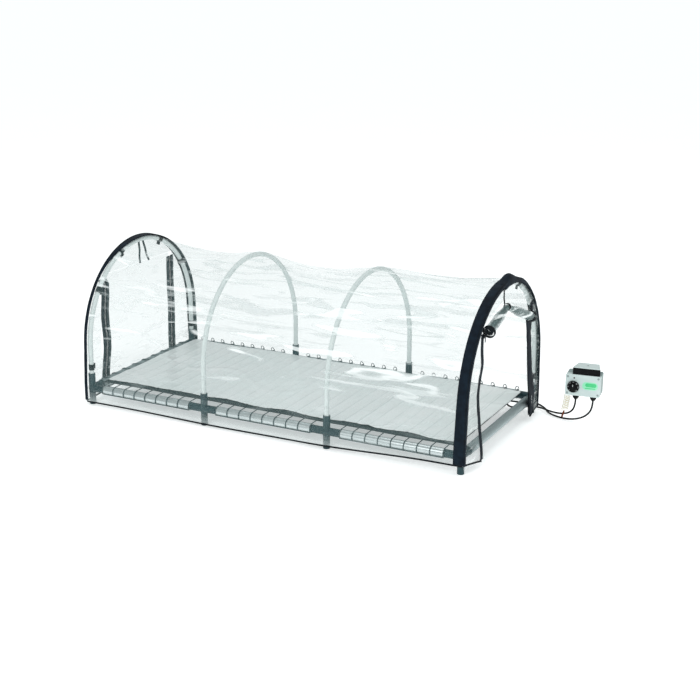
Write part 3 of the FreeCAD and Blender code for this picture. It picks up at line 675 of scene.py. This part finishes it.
def end_panel(name, end, side):
    """The film between a zip and the band."""
    x = end * FILM_PLANE

    def point(u, v):
        height = FILM_FOOT + (ARCH_TOP_Z - FILM_FOOT) * v
        along, out = edge_shift(end, side, height)
        outer = wall_y(height, SPRING[3])
        y = (OPENING_Y + (outer - OPENING_Y) * u) + side * along * (1 - u)
        bulge = 0.003 * noise.noise(Vector((y * 22.0, height * 10.0, end * 3.0 + side)))
        bulge *= math.sin(math.pi * u)
        return Vector((x + end * (out * (1 - u) ** 1.3) + end * bulge, side * y, height))

    panel = sheet_piece(name, point, 12, 60, "end_film")


def header(name, end):
    """The film above a doorway."""
    x = end * FILM_PLANE

    def point(u, v):
        y = -OPENING_Y + 2 * OPENING_Y * u
        low = DOOR_TOP if end < 0 else door_line(y)
        high = SPRING[3] + math.sqrt(FILM_BOW ** 2 - y * y)
        height = low + (high - low) * v
        gather = math.exp(-((y - ROLL_TIED.y) / 0.05) ** 2) if end > 0 else 0.0
        crease = 0.0018 * math.sin(y * 190.0 + height * 40.0) * (0.3 + gather) * math.sin(math.pi * v)
        return Vector((x + end * (crease + 0.0008), y, height))

    return sheet_piece(name, point, 60, 16, "end_film")


CORNERS = [(end, side, f"{end_name}_{side_name}") for end, end_name in ((-1, "left"), (1, "right"))
           for side, side_name in ((-1, "front"), (1, "rear"))]
for end, side, where in CORNERS:
    end_panel(f"end_panel_{where}", end, side)
left_header = header("header_left", -1)
right_header = header("header_right", 1)
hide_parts("end_film_left")
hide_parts("end_film_right")

DOOR_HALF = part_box("door_left")[1][1]
DOOR_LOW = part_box("door_left")[0][2]
DOOR_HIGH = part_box("door_left")[1][2]


def door_point(u, v):
    y = -DOOR_HALF + 2 * DOOR_HALF * u
    height = DOOR_LOW + (DOOR_HIGH - DOOR_LOW) * v
    front_shift = edge_shift(-1, -1, height)[0]
    rear_shift = edge_shift(-1, 1, height)[0]
    y += -front_shift * (1 - u) + rear_shift * u
    slack = math.sin(math.pi * u) * math.sin(math.pi * v)
    bulge = 0.004 * noise.noise(Vector((y * 6.0, height * 5.0, 4.0))) * slack
    return Vector((-END_FACE + 0.0002 - bulge, y, height))


door = sheet_piece("door_left_film", door_point, 50, 50, "end_film", body=DOOR)
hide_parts("door_left")


# --- zips ---------------------------------------------------------------------------------------------
def zip_strip(name, end, side, near, far, top, body):
    """A puckered tape beside the teeth."""

    def point(u, v):
        height = ZIP_LOW + (top - ZIP_LOW) * v
        along, out = edge_shift(end, side, height)
        y = near + (far - near) * u + along
        pucker = 0.0009 * noise.noise(Vector((u * 2.0, height * 55.0, near * 40.0 + end))) + 0.0004
        return Vector((end * (END_FACE + 0.0006 + pucker + out), side * y, height))

    return sheet_piece(name, point, 6, 90, "navy", body=body, thickness=0.0008)


def zip_teeth(name, end, side, near, far, top, body):
    """A coil of small teeth along the edge of a tape."""
    pitch = 0.0030
    behind, front, crest = -0.0007, 0.0015, 0.0018
    count = int((top - ZIP_LOW) / pitch)
    points, faces = [], []
    for i in range(count):
        height = ZIP_LOW + pitch * (i + 0.5)
        along, out = edge_shift(end, side, height)
        for dz in (-0.30, 0.30):
            for y, x in ((near, behind), (far, behind), (far, crest), (near, front)):
                points.append(Vector((end * (END_FACE + x + out), side * (y + along), height + dz * pitch)))
        a = i * 8
        faces += [(a, a + 1, a + 2, a + 3), (a + 7, a + 6, a + 5, a + 4), (a, a + 4, a + 5, a + 1),
                  (a + 1, a + 5, a + 6, a + 2), (a + 2, a + 6, a + 7, a + 3), (a + 3, a + 7, a + 4, a)]
    return mesh_piece(name, points, faces, "black_fabric", body, smooth=False)


TAPE_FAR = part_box("zip_tapes")[1][1]
DOOR_TAPE_LOW = 2 * ZIP_Y - TAPE_FAR
DOOR_TAPE_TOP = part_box("door_zip_tapes")[1][2]
FIXED_TAPE_NEAR = 0.2088
FIXED_TEETH = (0.2062, 0.2092)
DOOR_TAPE_FAR = 0.2012
DOOR_TEETH = (0.2008, 0.2038)
for end, side, where in CORNERS:
    zip_strip(f"zip_tape_{where}", end, side, FIXED_TAPE_NEAR, TAPE_FAR, ZIP_HIGH, BASE)
    zip_teeth(f"zip_teeth_{where}", end, side, *FIXED_TEETH, ZIP_HIGH, BASE)
    if end < 0:
        zip_strip(f"door_tape_{where}", end, side, DOOR_TAPE_LOW, DOOR_TAPE_FAR,
                                DOOR_TAPE_TOP, DOOR)
        zip_teeth(f"door_teeth_{where}", end, side, *DOOR_TEETH, DOOR_TAPE_TOP, DOOR)
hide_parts("zip_tapes")
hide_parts("door_zip_tapes")


def flap_point(u, v):
    """A loose fabric flap beside the open end's rear zip, wider towards its foot."""
    height = 0.018 + 0.352 * v
    near = 0.228 - 0.067 * v ** 1.25
    width = 0.066 - 0.026 * smooth_step(v * 1.7)
    crease = 0.0016 * noise.noise(Vector((u * 3.0, height * 26.0, 9.0)))
    sag = 0.0022 * math.sin(math.pi * u) + crease
    return Vector((END_FACE + 0.0012 + sag, near + width * u, height))


flap = sheet_piece("zip_flap_right_rear", flap_point, 10, 60, "navy", thickness=0.0010)


def door_hem_point(u, v):
    y = (-DOOR_TAPE_LOW + 0.001) + 2 * (DOOR_TAPE_LOW - 0.001) * u
    return Vector((-END_FACE - 0.0006, y, DOOR_LOW + 0.007 * v))


door_hem = sheet_piece("door_hem_tape", door_hem_point, 40, 2, "navy", body=DOOR, thickness=0.001)


# --- end bands and hems -------------------------------------------------------------------------------
def band(name, end):
    """A folded fabric band round the end: over the edge of the cover and a little way down the end film."""
    face = END_FACE + 0.0012
    lip = 0.012
    foot = 0.0165
    fold = 0.62

    def point(u, v):
        front = v < 0.5
        base = foot + (0.016 if (front and end > 0) else 0.0)
        flat, normal = profile(v, SPRING[3], BOW + 0.0013, base)
        width = BAND_WIDTH
        if end < 0 and front:
            width = 0.012 + 0.020 * smooth_step((v - 0.30) / 0.2)
        if end > 0 and front:
            width = BAND_WIDTH + 0.004 * smooth_step((0.25 - v) / 0.25)
        if end > 0 and not front:
            width = BAND_WIDTH - 0.012 * smooth_step((v - 0.6) / 0.2)
        crumple = noise.noise(Vector((v * 60.0, u * 3.0, end * 5.0)))
        if u < fold:
            along = u / fold
            x = face - width * (1 - along)
            rise = 0.0013 * math.sin(math.pi * along) + 0.0009 * crumple * math.sin(math.pi * along)
            spot = flat + normal * rise
        else:
            along = (u - fold) / (1 - fold)
            x = face + 0.0006 * math.sin(math.pi * along) + 0.0006 * crumple
            spot = flat - normal * (lip * along)
        return Vector((end * x, spot.y, spot.z))

    return sheet_piece(name, point, 16, 220, "navy", thickness=0.0011)


band_left = band("band_left_tape", -1)
band_right = band("band_right_tape", 1)
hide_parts("band_left")
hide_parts("band_right")


def piping(name, end):
    """The rolled seam along the middle of a band."""
    path = []
    for i in range(161):
        share = 0.02 + 0.96 * i / 160
        spot, normal = profile(share, SPRING[3], BOW + 0.0030, 0.034 if end > 0 else 0.018)
        path.append(Vector((end * (END_FACE - 0.0015), spot.y, spot.z)))
    return bar_piece(name, path, 0.0011, "black_fabric", sides=8)


seams = [piping("band_left_seam", -1), piping("band_right_seam", 1)]


def hem_path(side):
    """Along a long wall and round both corners to the zips."""
    front = side < 0
    reach = FILM_PLANE
    bend = 0.014
    path = []
    for end in (-1, 1):
        corner = []
        low = hem_height(end * reach, front)
        along, out = edge_shift(end, side, ZIP_LOW)
        for i in range(9):
            near = 1 - i / 8
            y = OPENING_Y + (SIDE - bend - OPENING_Y) * i / 8
            height = low + (FILM_FOOT - low) * near
            corner.append(Vector((end * (reach + out * near ** 1.3), side * (y + along * near), height)))
        for i in range(1, 6):
            angle = math.pi / 2 * i / 6
            x = reach - bend * (1 - math.cos(angle))
            corner.append(Vector((end * x, side * (SIDE - bend + bend * math.sin(angle)), low)))
        if end < 0:
            path += corner
            for i in range(1, 60):
                x = -reach + bend + 2 * (reach - bend) * i / 60
                path.append(Vector((x, side * SIDE, hem_height(x, front))))
        else:
            path += corner[::-1]
    return path


HEM_R = 0.0028
hems = [bar_piece(f"hem_{side_name}_binding", hem_path(side), HEM_R, "black_fabric", sides=10)
        for side, side_name in ((-1, "front"), (1, "rear"))]
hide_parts("hem_binding")


# --- heated mat ---------------------------------------------------------------------------------------
MAT_LOW, MAT_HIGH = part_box("heating_mat")
SHADOW_SHEET_FRONT = -0.2925
SHADOW_SHEET_WIDTH = 0.574
PLEAT_PITCH = 0.0433


def foil(name):
    """Foil with painted shade in grey lines along its pleats, in patches, and fine crinkles."""
    n = Nodes(name)
    place = n.place()
    tone = n.ramp(n.noise(place, 7.0, detail=5.0), (0.3, (0.90, 0.96, 0.95)), (0.7, (0.98, 1.0, 1.0)))
    split = n.add("ShaderNodeSeparateXYZ")
    n.link(place, split.inputs["Vector"])
    wave = n.add("ShaderNodeMath", operation="PINGPONG")
    n.link(split.outputs["X"], wave.inputs[0])
    wave.inputs[1].default_value = PLEAT_PITCH / 2
    scaled = n.add("ShaderNodeMath", operation="MULTIPLY")
    n.link(wave.outputs[0], scaled.inputs[0])
    scaled.inputs[1].default_value = 46.0
    # Painted shade: grey lines along the pleat creases, where the ridges would throw shade.
    lines = n.ramp(scaled.outputs[0], (0.02, 0.50), (0.10, 0.0))
    patches = n.ramp(n.noise(place, 5.0), (0.38, 0.0), (0.62, 1.0))
    painted_pleat_shade = n.mix(lines, patches, 1.0, "MULTIPLY")
    n.colour(n.mix(tone, (0.50, 0.58, 0.58), painted_pleat_shade))
    crinkle = n.noise(n.place((1.0, 0.45, 1.0)), 16.0, detail=3.0, roughness=0.5, distortion=0.6)
    rough = n.ramp(crinkle, (0.3, 0.16), (0.8, 0.30))
    n.link(rough, n.shader.inputs["Roughness"])
    n.set(Metallic=0.06)
    n.bump(crinkle, 0.12, 0.003)
    return n.material


MATERIALS["foil"] = foil("foil")
# Painted shadow: a dark sheet under the foil that shows in the gap before the front rail, where there is only
# shade.
MATERIALS["shadow_sheet"] = fabric("mat_shadow_sheet", (0.016, 0.028, 0.030), (0.040, 0.058, 0.060), weave=500.0)
RUN_PITCH = 0.100
RUN_END = 0.215


def wire_distance(x, y):
    """Distance to the heating wire under the foil: runs across the mat, joined by half circles."""
    cell = math.floor(x / RUN_PITCH)
    inside = x - cell * RUN_PITCH
    if abs(y) < RUN_END:
        return min(inside, RUN_PITCH - inside)
    turn_side = 1 if cell % 2 == 0 else -1
    if y * turn_side > 0:
        return abs(math.hypot(inside - RUN_PITCH / 2, abs(y) - RUN_END) - RUN_PITCH / 2)
    return 1.0


def mat_point(u, v):
    low_x, high_x = MAT_LOW[0], MAT_HIGH[0]
    x = low_x + (high_x - low_x) * u
    front = MAT_LOW[1] + 0.018 + 0.014 * noise.noise(Vector((x * 7.0, 0.3, 0.0))) + 0.004 * math.sin(x * 31.0)
    rear = MAT_HIGH[1] - 0.004 + 0.003 * math.sin(x * 17.0)
    y = front + (rear - front) * v
    corner = min(u, 1 - u) * (high_x - low_x)
    if corner < 0.012:
        y = y * (1 - 0.012 * (1 - corner / 0.012) ** 2 / 0.28)
    ridge = 0.0020 * math.exp(-(wire_distance(x, y) / 0.0045) ** 2) * smooth_step((x - 0.10) / 0.3)
    across = (x / PLEAT_PITCH) % 1.0
    ridge += 0.0009 * math.exp(-((min(across, 1 - across) * PLEAT_PITCH) / 0.005) ** 2)
    slack = 0.0018 * (noise.noise(Vector((x * 4.0, y * 6.0, 1.0))) + 0.5)
    fold = 0.0014 * math.exp(-((noise.noise(Vector((x * 2.6, y * 3.1, 7.0)))) / 0.045) ** 2)
    lift = 0.0045 * max(0.0, noise.noise(Vector((x * 9.0, 2.0, 0.0)))) * math.exp(-v / 0.03)
    return Vector((x, y, MAT_HIGH[2] - 0.0004 + ridge + slack + fold + lift))


mat = sheet_piece("foil_mat", mat_point, 420, 190, "foil")
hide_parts("heating_mat")


# The dark sheet that stands in for the shadow under the mat's front edge.
def shadow_sheet_point(u, v):
    x = MAT_LOW[0] + (MAT_HIGH[0] - MAT_LOW[0]) * u
    y = (SHADOW_SHEET_FRONT + 0.0015 * math.sin(x * 23.0)) + SHADOW_SHEET_WIDTH * v
    return Vector((x, y, MAT_LOW[2] + 0.0004 + 0.0004 * noise.noise(Vector((x * 8, y * 8, 3.0)))))


shadow_sheet = sheet_piece("mat_shadow_sheet", shadow_sheet_point, 80, 30, "shadow_sheet")


# --- rolled-up door and its tie -----------------------------------------------------------------------
def rolled_door(name):
    """The door film wound six times round itself along the two arms of the V, pinched where it is tied."""
    rows = [(ROLL_TIED.lerp(ROLL_FRONT, 1 - i / 20), 1 - i / 20) for i in range(21)]
    rows += [(ROLL_TIED.lerp(ROLL_REAR, i / 26), i / 26) for i in range(1, 27)]
    turns, columns = 6, 192
    points = []
    for spot, share in rows:
        along = (ROLL_TIED - ROLL_FRONT) if spot.y < ROLL_TIED.y else (ROLL_REAR - ROLL_TIED)
        along = along.normalized()
        out = Vector((1, 0, 0))
        up = along.cross(out) * -1
        outer = 0.0092 + 0.0076 * smooth_step(share * 2.0)
        for k in range(columns + 1):
            turn = k / columns
            angle = 2 * math.pi * turns * turn + 0.6
            fold = 0.09 * math.sin(3 * angle + spot.y * 9.0) + 0.045 * math.sin(7 * angle - spot.y * 31.0)
            size = (0.0028 + (outer - 0.0028) * turn) * (1 + fold * (1 - 0.5 * share))
            points.append(spot + out * (size * math.cos(angle)) + up * (size * math.sin(angle)))
    faces = []
    for i in range(len(rows) - 1):
        for k in range(columns):
            a = i * (columns + 1) + k
            faces.append((a, a + 1, a + columns + 2, a + columns + 1))
    return mesh_piece(name, points, faces, "roll")


roll = rolled_door("rolled_door_film")
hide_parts("door_roll")


def wound_tape(name, centre, along, width, rings):
    """Zip tape rolled up with the door, as rings: radius across and up, drop of the middle, thickness."""
    along = along.normalized()
    out = Vector((1, 0, 0))
    up = (along.cross(out) * -1).normalized()
    if up.z < 0:
        up = -up
    points, faces = [], []
    sides = 48
    for radius_x, radius_z, drop, thick in rings:
        first = len(points)
        for k in range(sides):
            angle = 2 * math.pi * k / sides
            for reach, shift in ((0.0, 0.0), (thick, 0.0), (thick, 1.0), (0.0, 1.0)):
                spot = centre + along * (width * shift - width)
                spot = spot + out * ((radius_x + reach) * math.cos(angle))
                points.append(spot + up * ((radius_z + reach) * math.sin(angle) - drop))
        for k in range(sides):
            a = first + 4 * k
            b = first + 4 * ((k + 1) % sides)
            for j in range(4):
                faces.append((a + j, b + j, b + (j + 1) % 4, a + (j + 1) % 4))
    return mesh_piece(name, points, faces, "black_fabric")


front_way = ROLL_FRONT - ROLL_TIED
rear_way = ROLL_REAR - ROLL_TIED
wound_front = wound_tape("rolled_tape_front", ROLL_FRONT + front_way.normalized() * 0.002, front_way, 0.008,
                         [(0.0056, 0.0056, 0.0, 0.0080), (0.0166, 0.0166, 0.0036, 0.0030)])
wound_rear = wound_tape("rolled_tape_rear", ROLL_REAR + rear_way.normalized() * 0.001, rear_way, 0.026,
                        [(0.0060, 0.0060, 0.0, 0.0040), (0.0104, 0.0104, 0.0, 0.0040),
                         (0.0146, 0.0150, 0.0, 0.0026)])


def flat_strap(name, path, width, body=BASE):
    """A flat strap along points, as wide as width from front to rear."""
    count = len(path) - 1

    def point(u, v):
        place = v * count
        low = min(int(place), count - 1)
        spot = path[low].lerp(path[low + 1], place - low)
        return spot + Vector((0, width * (u - 0.5), 0))

    return sheet_piece(name, point, 4, count * 3, "black_fabric", body=body, thickness=0.0012)


tie_y = ROLL_TIED.y
tie_top = SPRING[3] + math.sqrt((BOW - 0.008) ** 2 - tie_y ** 2)
TIE_R = 0.0106
tie_path = [
    Vector((END_FACE + 0.0022, tie_y, tie_top)),
    Vector((END_FACE + 0.0030, tie_y, ROLL_TIED.z + 0.024)),
]
for k in range(25):
    angle = math.pi * 0.80 - 2 * math.pi * k / 24
    tie_path.append(Vector((ROLL_X + TIE_R * math.cos(angle), tie_y, ROLL_TIED.z + TIE_R * math.sin(angle))))
tie_right = flat_strap("tie_right_strap", tie_path, 0.009)
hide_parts("tie_right")

tie_left_low, tie_left_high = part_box("ties_left")
tie_drop = tie_left_high[2] - tie_left_low[2] + 0.020
for index, y in enumerate((tie_left_low[1] + 0.006, tie_left_high[1] - 0.006)):
    path = []
    for i in range(15):
        share = i / 14
        bend = (0.002 if index == 0 else 0.034) * share ** 1.6
        curl = 0.0004 - 0.002 * math.sin(share * 6.0) ** 2
        path.append(Vector((tie_left_low[0] + curl, y + bend, tie_left_high[2] - tie_drop * share)))
    tie = flat_strap(f"tie_left_strap_{index + 1}", path, 0.010, body=None)
    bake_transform(tie)
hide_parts("ties_left")


def crown_patch(name):
    """The peaked fold of fabric where the tie is sewn into the band."""

    def point(u, v):
        angle = math.radians(-9.0 + 60.0 * v)
        peak = 0.019 * math.exp(-((v - 0.20) / 0.11) ** 2)
        peak += 0.0060 * math.exp(-((v - 0.62) / 0.25) ** 2)
        ends = math.sin(math.pi * min(1.0, v * 1.02)) ** 0.4
        over = 1 - abs(2 * u - 1) ** 3
        reach = BOW + 0.0020 + peak * over * ends
        reach += 0.0014 * noise.noise(Vector((u * 4.0, v * 14.0, 2.0)))
        x = END_FACE + 0.0035 - (BAND_WIDTH + 0.001) * u
        if u < 0.22:
            reach -= 0.016 * (1 - u / 0.22) * (1 - 0.5 * v)
            x += 0.0016
        return Vector((x, reach * math.sin(angle), SPRING[3] + reach * math.cos(angle)))

    return sheet_piece(name, point, 18, 60, "navy", thickness=0.0012)


patch = crown_patch("crown_patch")


# --- hooks of the grid over the rear rails -------------------------------------------------------------
WIRE_R = 0.0012


def rear_hooks(name):
    """Small standing loops of wire, one where each cross wire goes over a rear rail."""
    points, faces = [], []
    rail_y = middle("rail_rear_1").y
    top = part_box("rail_rear_1")[1][2]
    sides = 8
    for bay in (1, 2, 3):
        low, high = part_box(f"rail_rear_{bay}")
        for i in range(9):
            x = low[0] + 0.001 + (high[0] - low[0] - 0.002) * i / 8
            lean = 0.003 * noise.noise(Vector((x * 9.0, 1.0, 5.0)))
            first = len(points)
            rings = 13
            for r in range(rings):
                angle = math.pi * r / (rings - 1)
                centre = Vector((x + lean * math.sin(angle) - 0.0062 * math.cos(angle),
                                 rail_y - 0.004 * math.sin(angle),
                                 top + WIRE_R + 0.0125 * math.sin(angle) ** 0.8))
                out = Vector((-math.cos(angle), 0, math.sin(angle)))
                for k in range(sides):
                    turn = 2 * math.pi * k / sides
                    spot = centre + out * (WIRE_R * math.cos(turn))
                    points.append(spot + Vector((0, WIRE_R * math.sin(turn), 0)))
            faces += ring_faces(rings, sides, first)
    return mesh_piece(name, points, faces, "wire")


rear_hooks("rear_hooks")


# --- thermostat box -----------------------------------------------------------------------------------
repaint("box", "thermostat_case")
repaint("lid", "thermostat_lid")
repaint("screw", "lid_screws")
repaint("steel", "knob_spindle")
repaint("lamp", "indicator_lens")
repaint("black", "hanger_block", "mat_lead_joint")
repaint("plate", "hanger_plate")
repaint("board", "circuit_board")
repaint("tube", "rail_front_")
# The rear and end rails take the darker copy of the tube: painted shade.
repaint("tube_shaded", "rail_rear_", "rail_end_")
repaint("slate", "connector_")
repaint("white", "hoop_1", "hoop_2", "hoop_3", "hoop_4")
repaint("wire", "support_grid")
repaint("black_fabric", "hoop_tabs")
repaint("dark_metal", "zip_slider", "zip_pull")

KNOB = (-0.030, -0.005)
SHARP_ANGLE = math.radians(35)


def box_frame():
    """From the box's own axes to the object's."""
    c, s = math.cos(CASE_YAW), math.sin(CASE_YAW)
    return Matrix(((c, -s, 0, FACE.x), (s, c, 0, FACE.y), (0, 0, 1, FACE.z), (0, 0, 0, 1)))


def turned_piece(name, outline, sides, material, body, ripple=None):
    """A turned shape about the dial's axis. outline is (radius, depth in front of the lid)."""
    points = []
    for ring, (radius, depth) in enumerate(outline):
        for k in range(sides):
            angle = 2 * math.pi * k / sides
            size = radius * (1 + (ripple(ring, angle) if ripple else 0.0))
            points.append(on_box(KNOB[0] + size * math.cos(angle), -depth, KNOB[1] + size * math.sin(angle)))
    piece = mesh_piece(name, points, ring_faces(len(outline), sides), material, body)
    piece.data.set_sharp_from_angle(angle=SHARP_ANGLE)
    return piece


def grip_ripple(ring, angle):
    return 0.045 * (math.cos(18 * angle)) if 0 < ring < 4 else 0.0


skirt = turned_piece("dial_skirt", [(0.0190, 0.0010), (0.0195, 0.0016), (0.0195, 0.0052), (0.0186, 0.0062),
                                    (0.0130, 0.0070)], 96, "black", "dial")
turned_piece("dial_grip", [(0.0128, 0.0066), (0.0122, 0.0075), (0.0112, 0.0125), (0.0106, 0.0138),
                           (0.0092, 0.0144)], 108, "black", "dial", grip_ripple)
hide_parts("thermostat_knob")
NUMBER_R = 0.0160
for index, number in enumerate(("0", "5", "10", "15", "20", "25", "30")):
    angle = math.radians(225 - 45 * index)
    data = bpy.data.curves.new(f"dial_number_{number}", "FONT")
    data.body = number
    data.size = 0.0054
    data.align_x = "CENTER"
    data.align_y = "CENTER"
    data.extrude = 0.00012
    data.materials.append(MATERIALS["mark"])
    holder = bpy.data.objects.new(f"number_{number}_source", data)
    mesh = bpy.data.meshes.new_from_object(holder)
    mesh.name = f"dial_number_{number}"
    turn = Matrix.Rotation(angle - math.pi / 2, 4, "Y").inverted()
    stand = Matrix.Rotation(math.pi / 2, 4, "X")
    spot = Matrix.Translation((KNOB[0] + NUMBER_R * math.cos(angle), -0.00685,
                               KNOB[1] + NUMBER_R * math.sin(angle)))
    mesh.transform(box_frame() @ spot @ turn @ stand)
    bpy.data.objects.remove(holder)
    mesh.materials.clear()
    mesh.materials.append(MATERIALS["mark"])
    mark = bpy.data.objects.new(f"dial_number_{number}", mesh)
    bpy.context.scene.collection.objects.link(mark)
    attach(mark, "dial")


def face_plate(name, outline, depth, material, body=BASE):
    """A thin printed shape on the lid: outline points are across and up from the middle of its face."""
    points = [on_box(x, -depth, z) for x, z in outline] + [on_box(x, 0.0002, z) for x, z in outline]
    count = len(outline)
    faces = [tuple(range(count)), tuple(range(count, 2 * count))[::-1]]
    for i in range(count):
        faces.append((i, (i + 1) % count, count + (i + 1) % count, count + i))
    return mesh_piece(name, points, faces, material, body, smooth=False)


def rounded(across, up, width, height, corner, steps=6):
    """A rectangle with round corners about a point of the lid."""
    outline = []
    for side, level, start in ((1, 1, 0), (-1, 1, 90), (-1, -1, 180), (1, -1, 270)):
        for k in range(steps + 1):
            angle = math.radians(start + 90 * k / steps)
            outline.append((across + side * (width / 2 - corner) + corner * math.cos(angle),
                            up + level * (height / 2 - corner) + corner * math.sin(angle)))
    return outline




def gland(name, exit_point):
    """A cone-shaped strain relief under the box, wide at its root, with two grooves."""
    outline = [(0.0088, 0.0012), (0.0100, 0.0), (0.0106, -0.0024), (0.0106, -0.0110), (0.0098, -0.0122),
               (0.0096, -0.0130), (0.0084, -0.0154), (0.0077, -0.0158), (0.0073, -0.0166), (0.0056, -0.0192),
               (0.0034, -0.0204)]
    sides = 40
    root = Vector((exit_point.x, exit_point.y, FACE.z + CASE_BOTTOM))
    points = []
    for radius, rise in outline:
        for k in range(sides):
            angle = 2 * math.pi * k / sides
            points.append(root + Vector((radius * math.cos(angle), radius * math.sin(angle), rise)))
    piece = mesh_piece(name, points, ring_faces(len(outline), sides), "black")
    piece.data.set_sharp_from_angle(angle=SHARP_ANGLE)
    return piece


mat_gland = gland("gland_mat_lead", mat_exit)
gland("gland_mains_lead", mains_exit)
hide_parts("cable_glands")
face_plate("dial_pointer", rounded(KNOB[0], KNOB[1] + 0.0060, 0.0016, 0.0078, 0.0007), 0.0148, "mark", "dial")
face_plate("panel_green_pale", rounded(0.0235, 0.001, 0.050, 0.026, 0.0125), 0.00030, "green_pale")
face_plate("panel_green", rounded(0.0260, 0.004, 0.036, 0.013, 0.0062), 0.00050, "green")
face_plate("panel_green_bar", rounded(0.0240, -0.007, 0.034, 0.0030, 0.0014), 0.00050, "green")
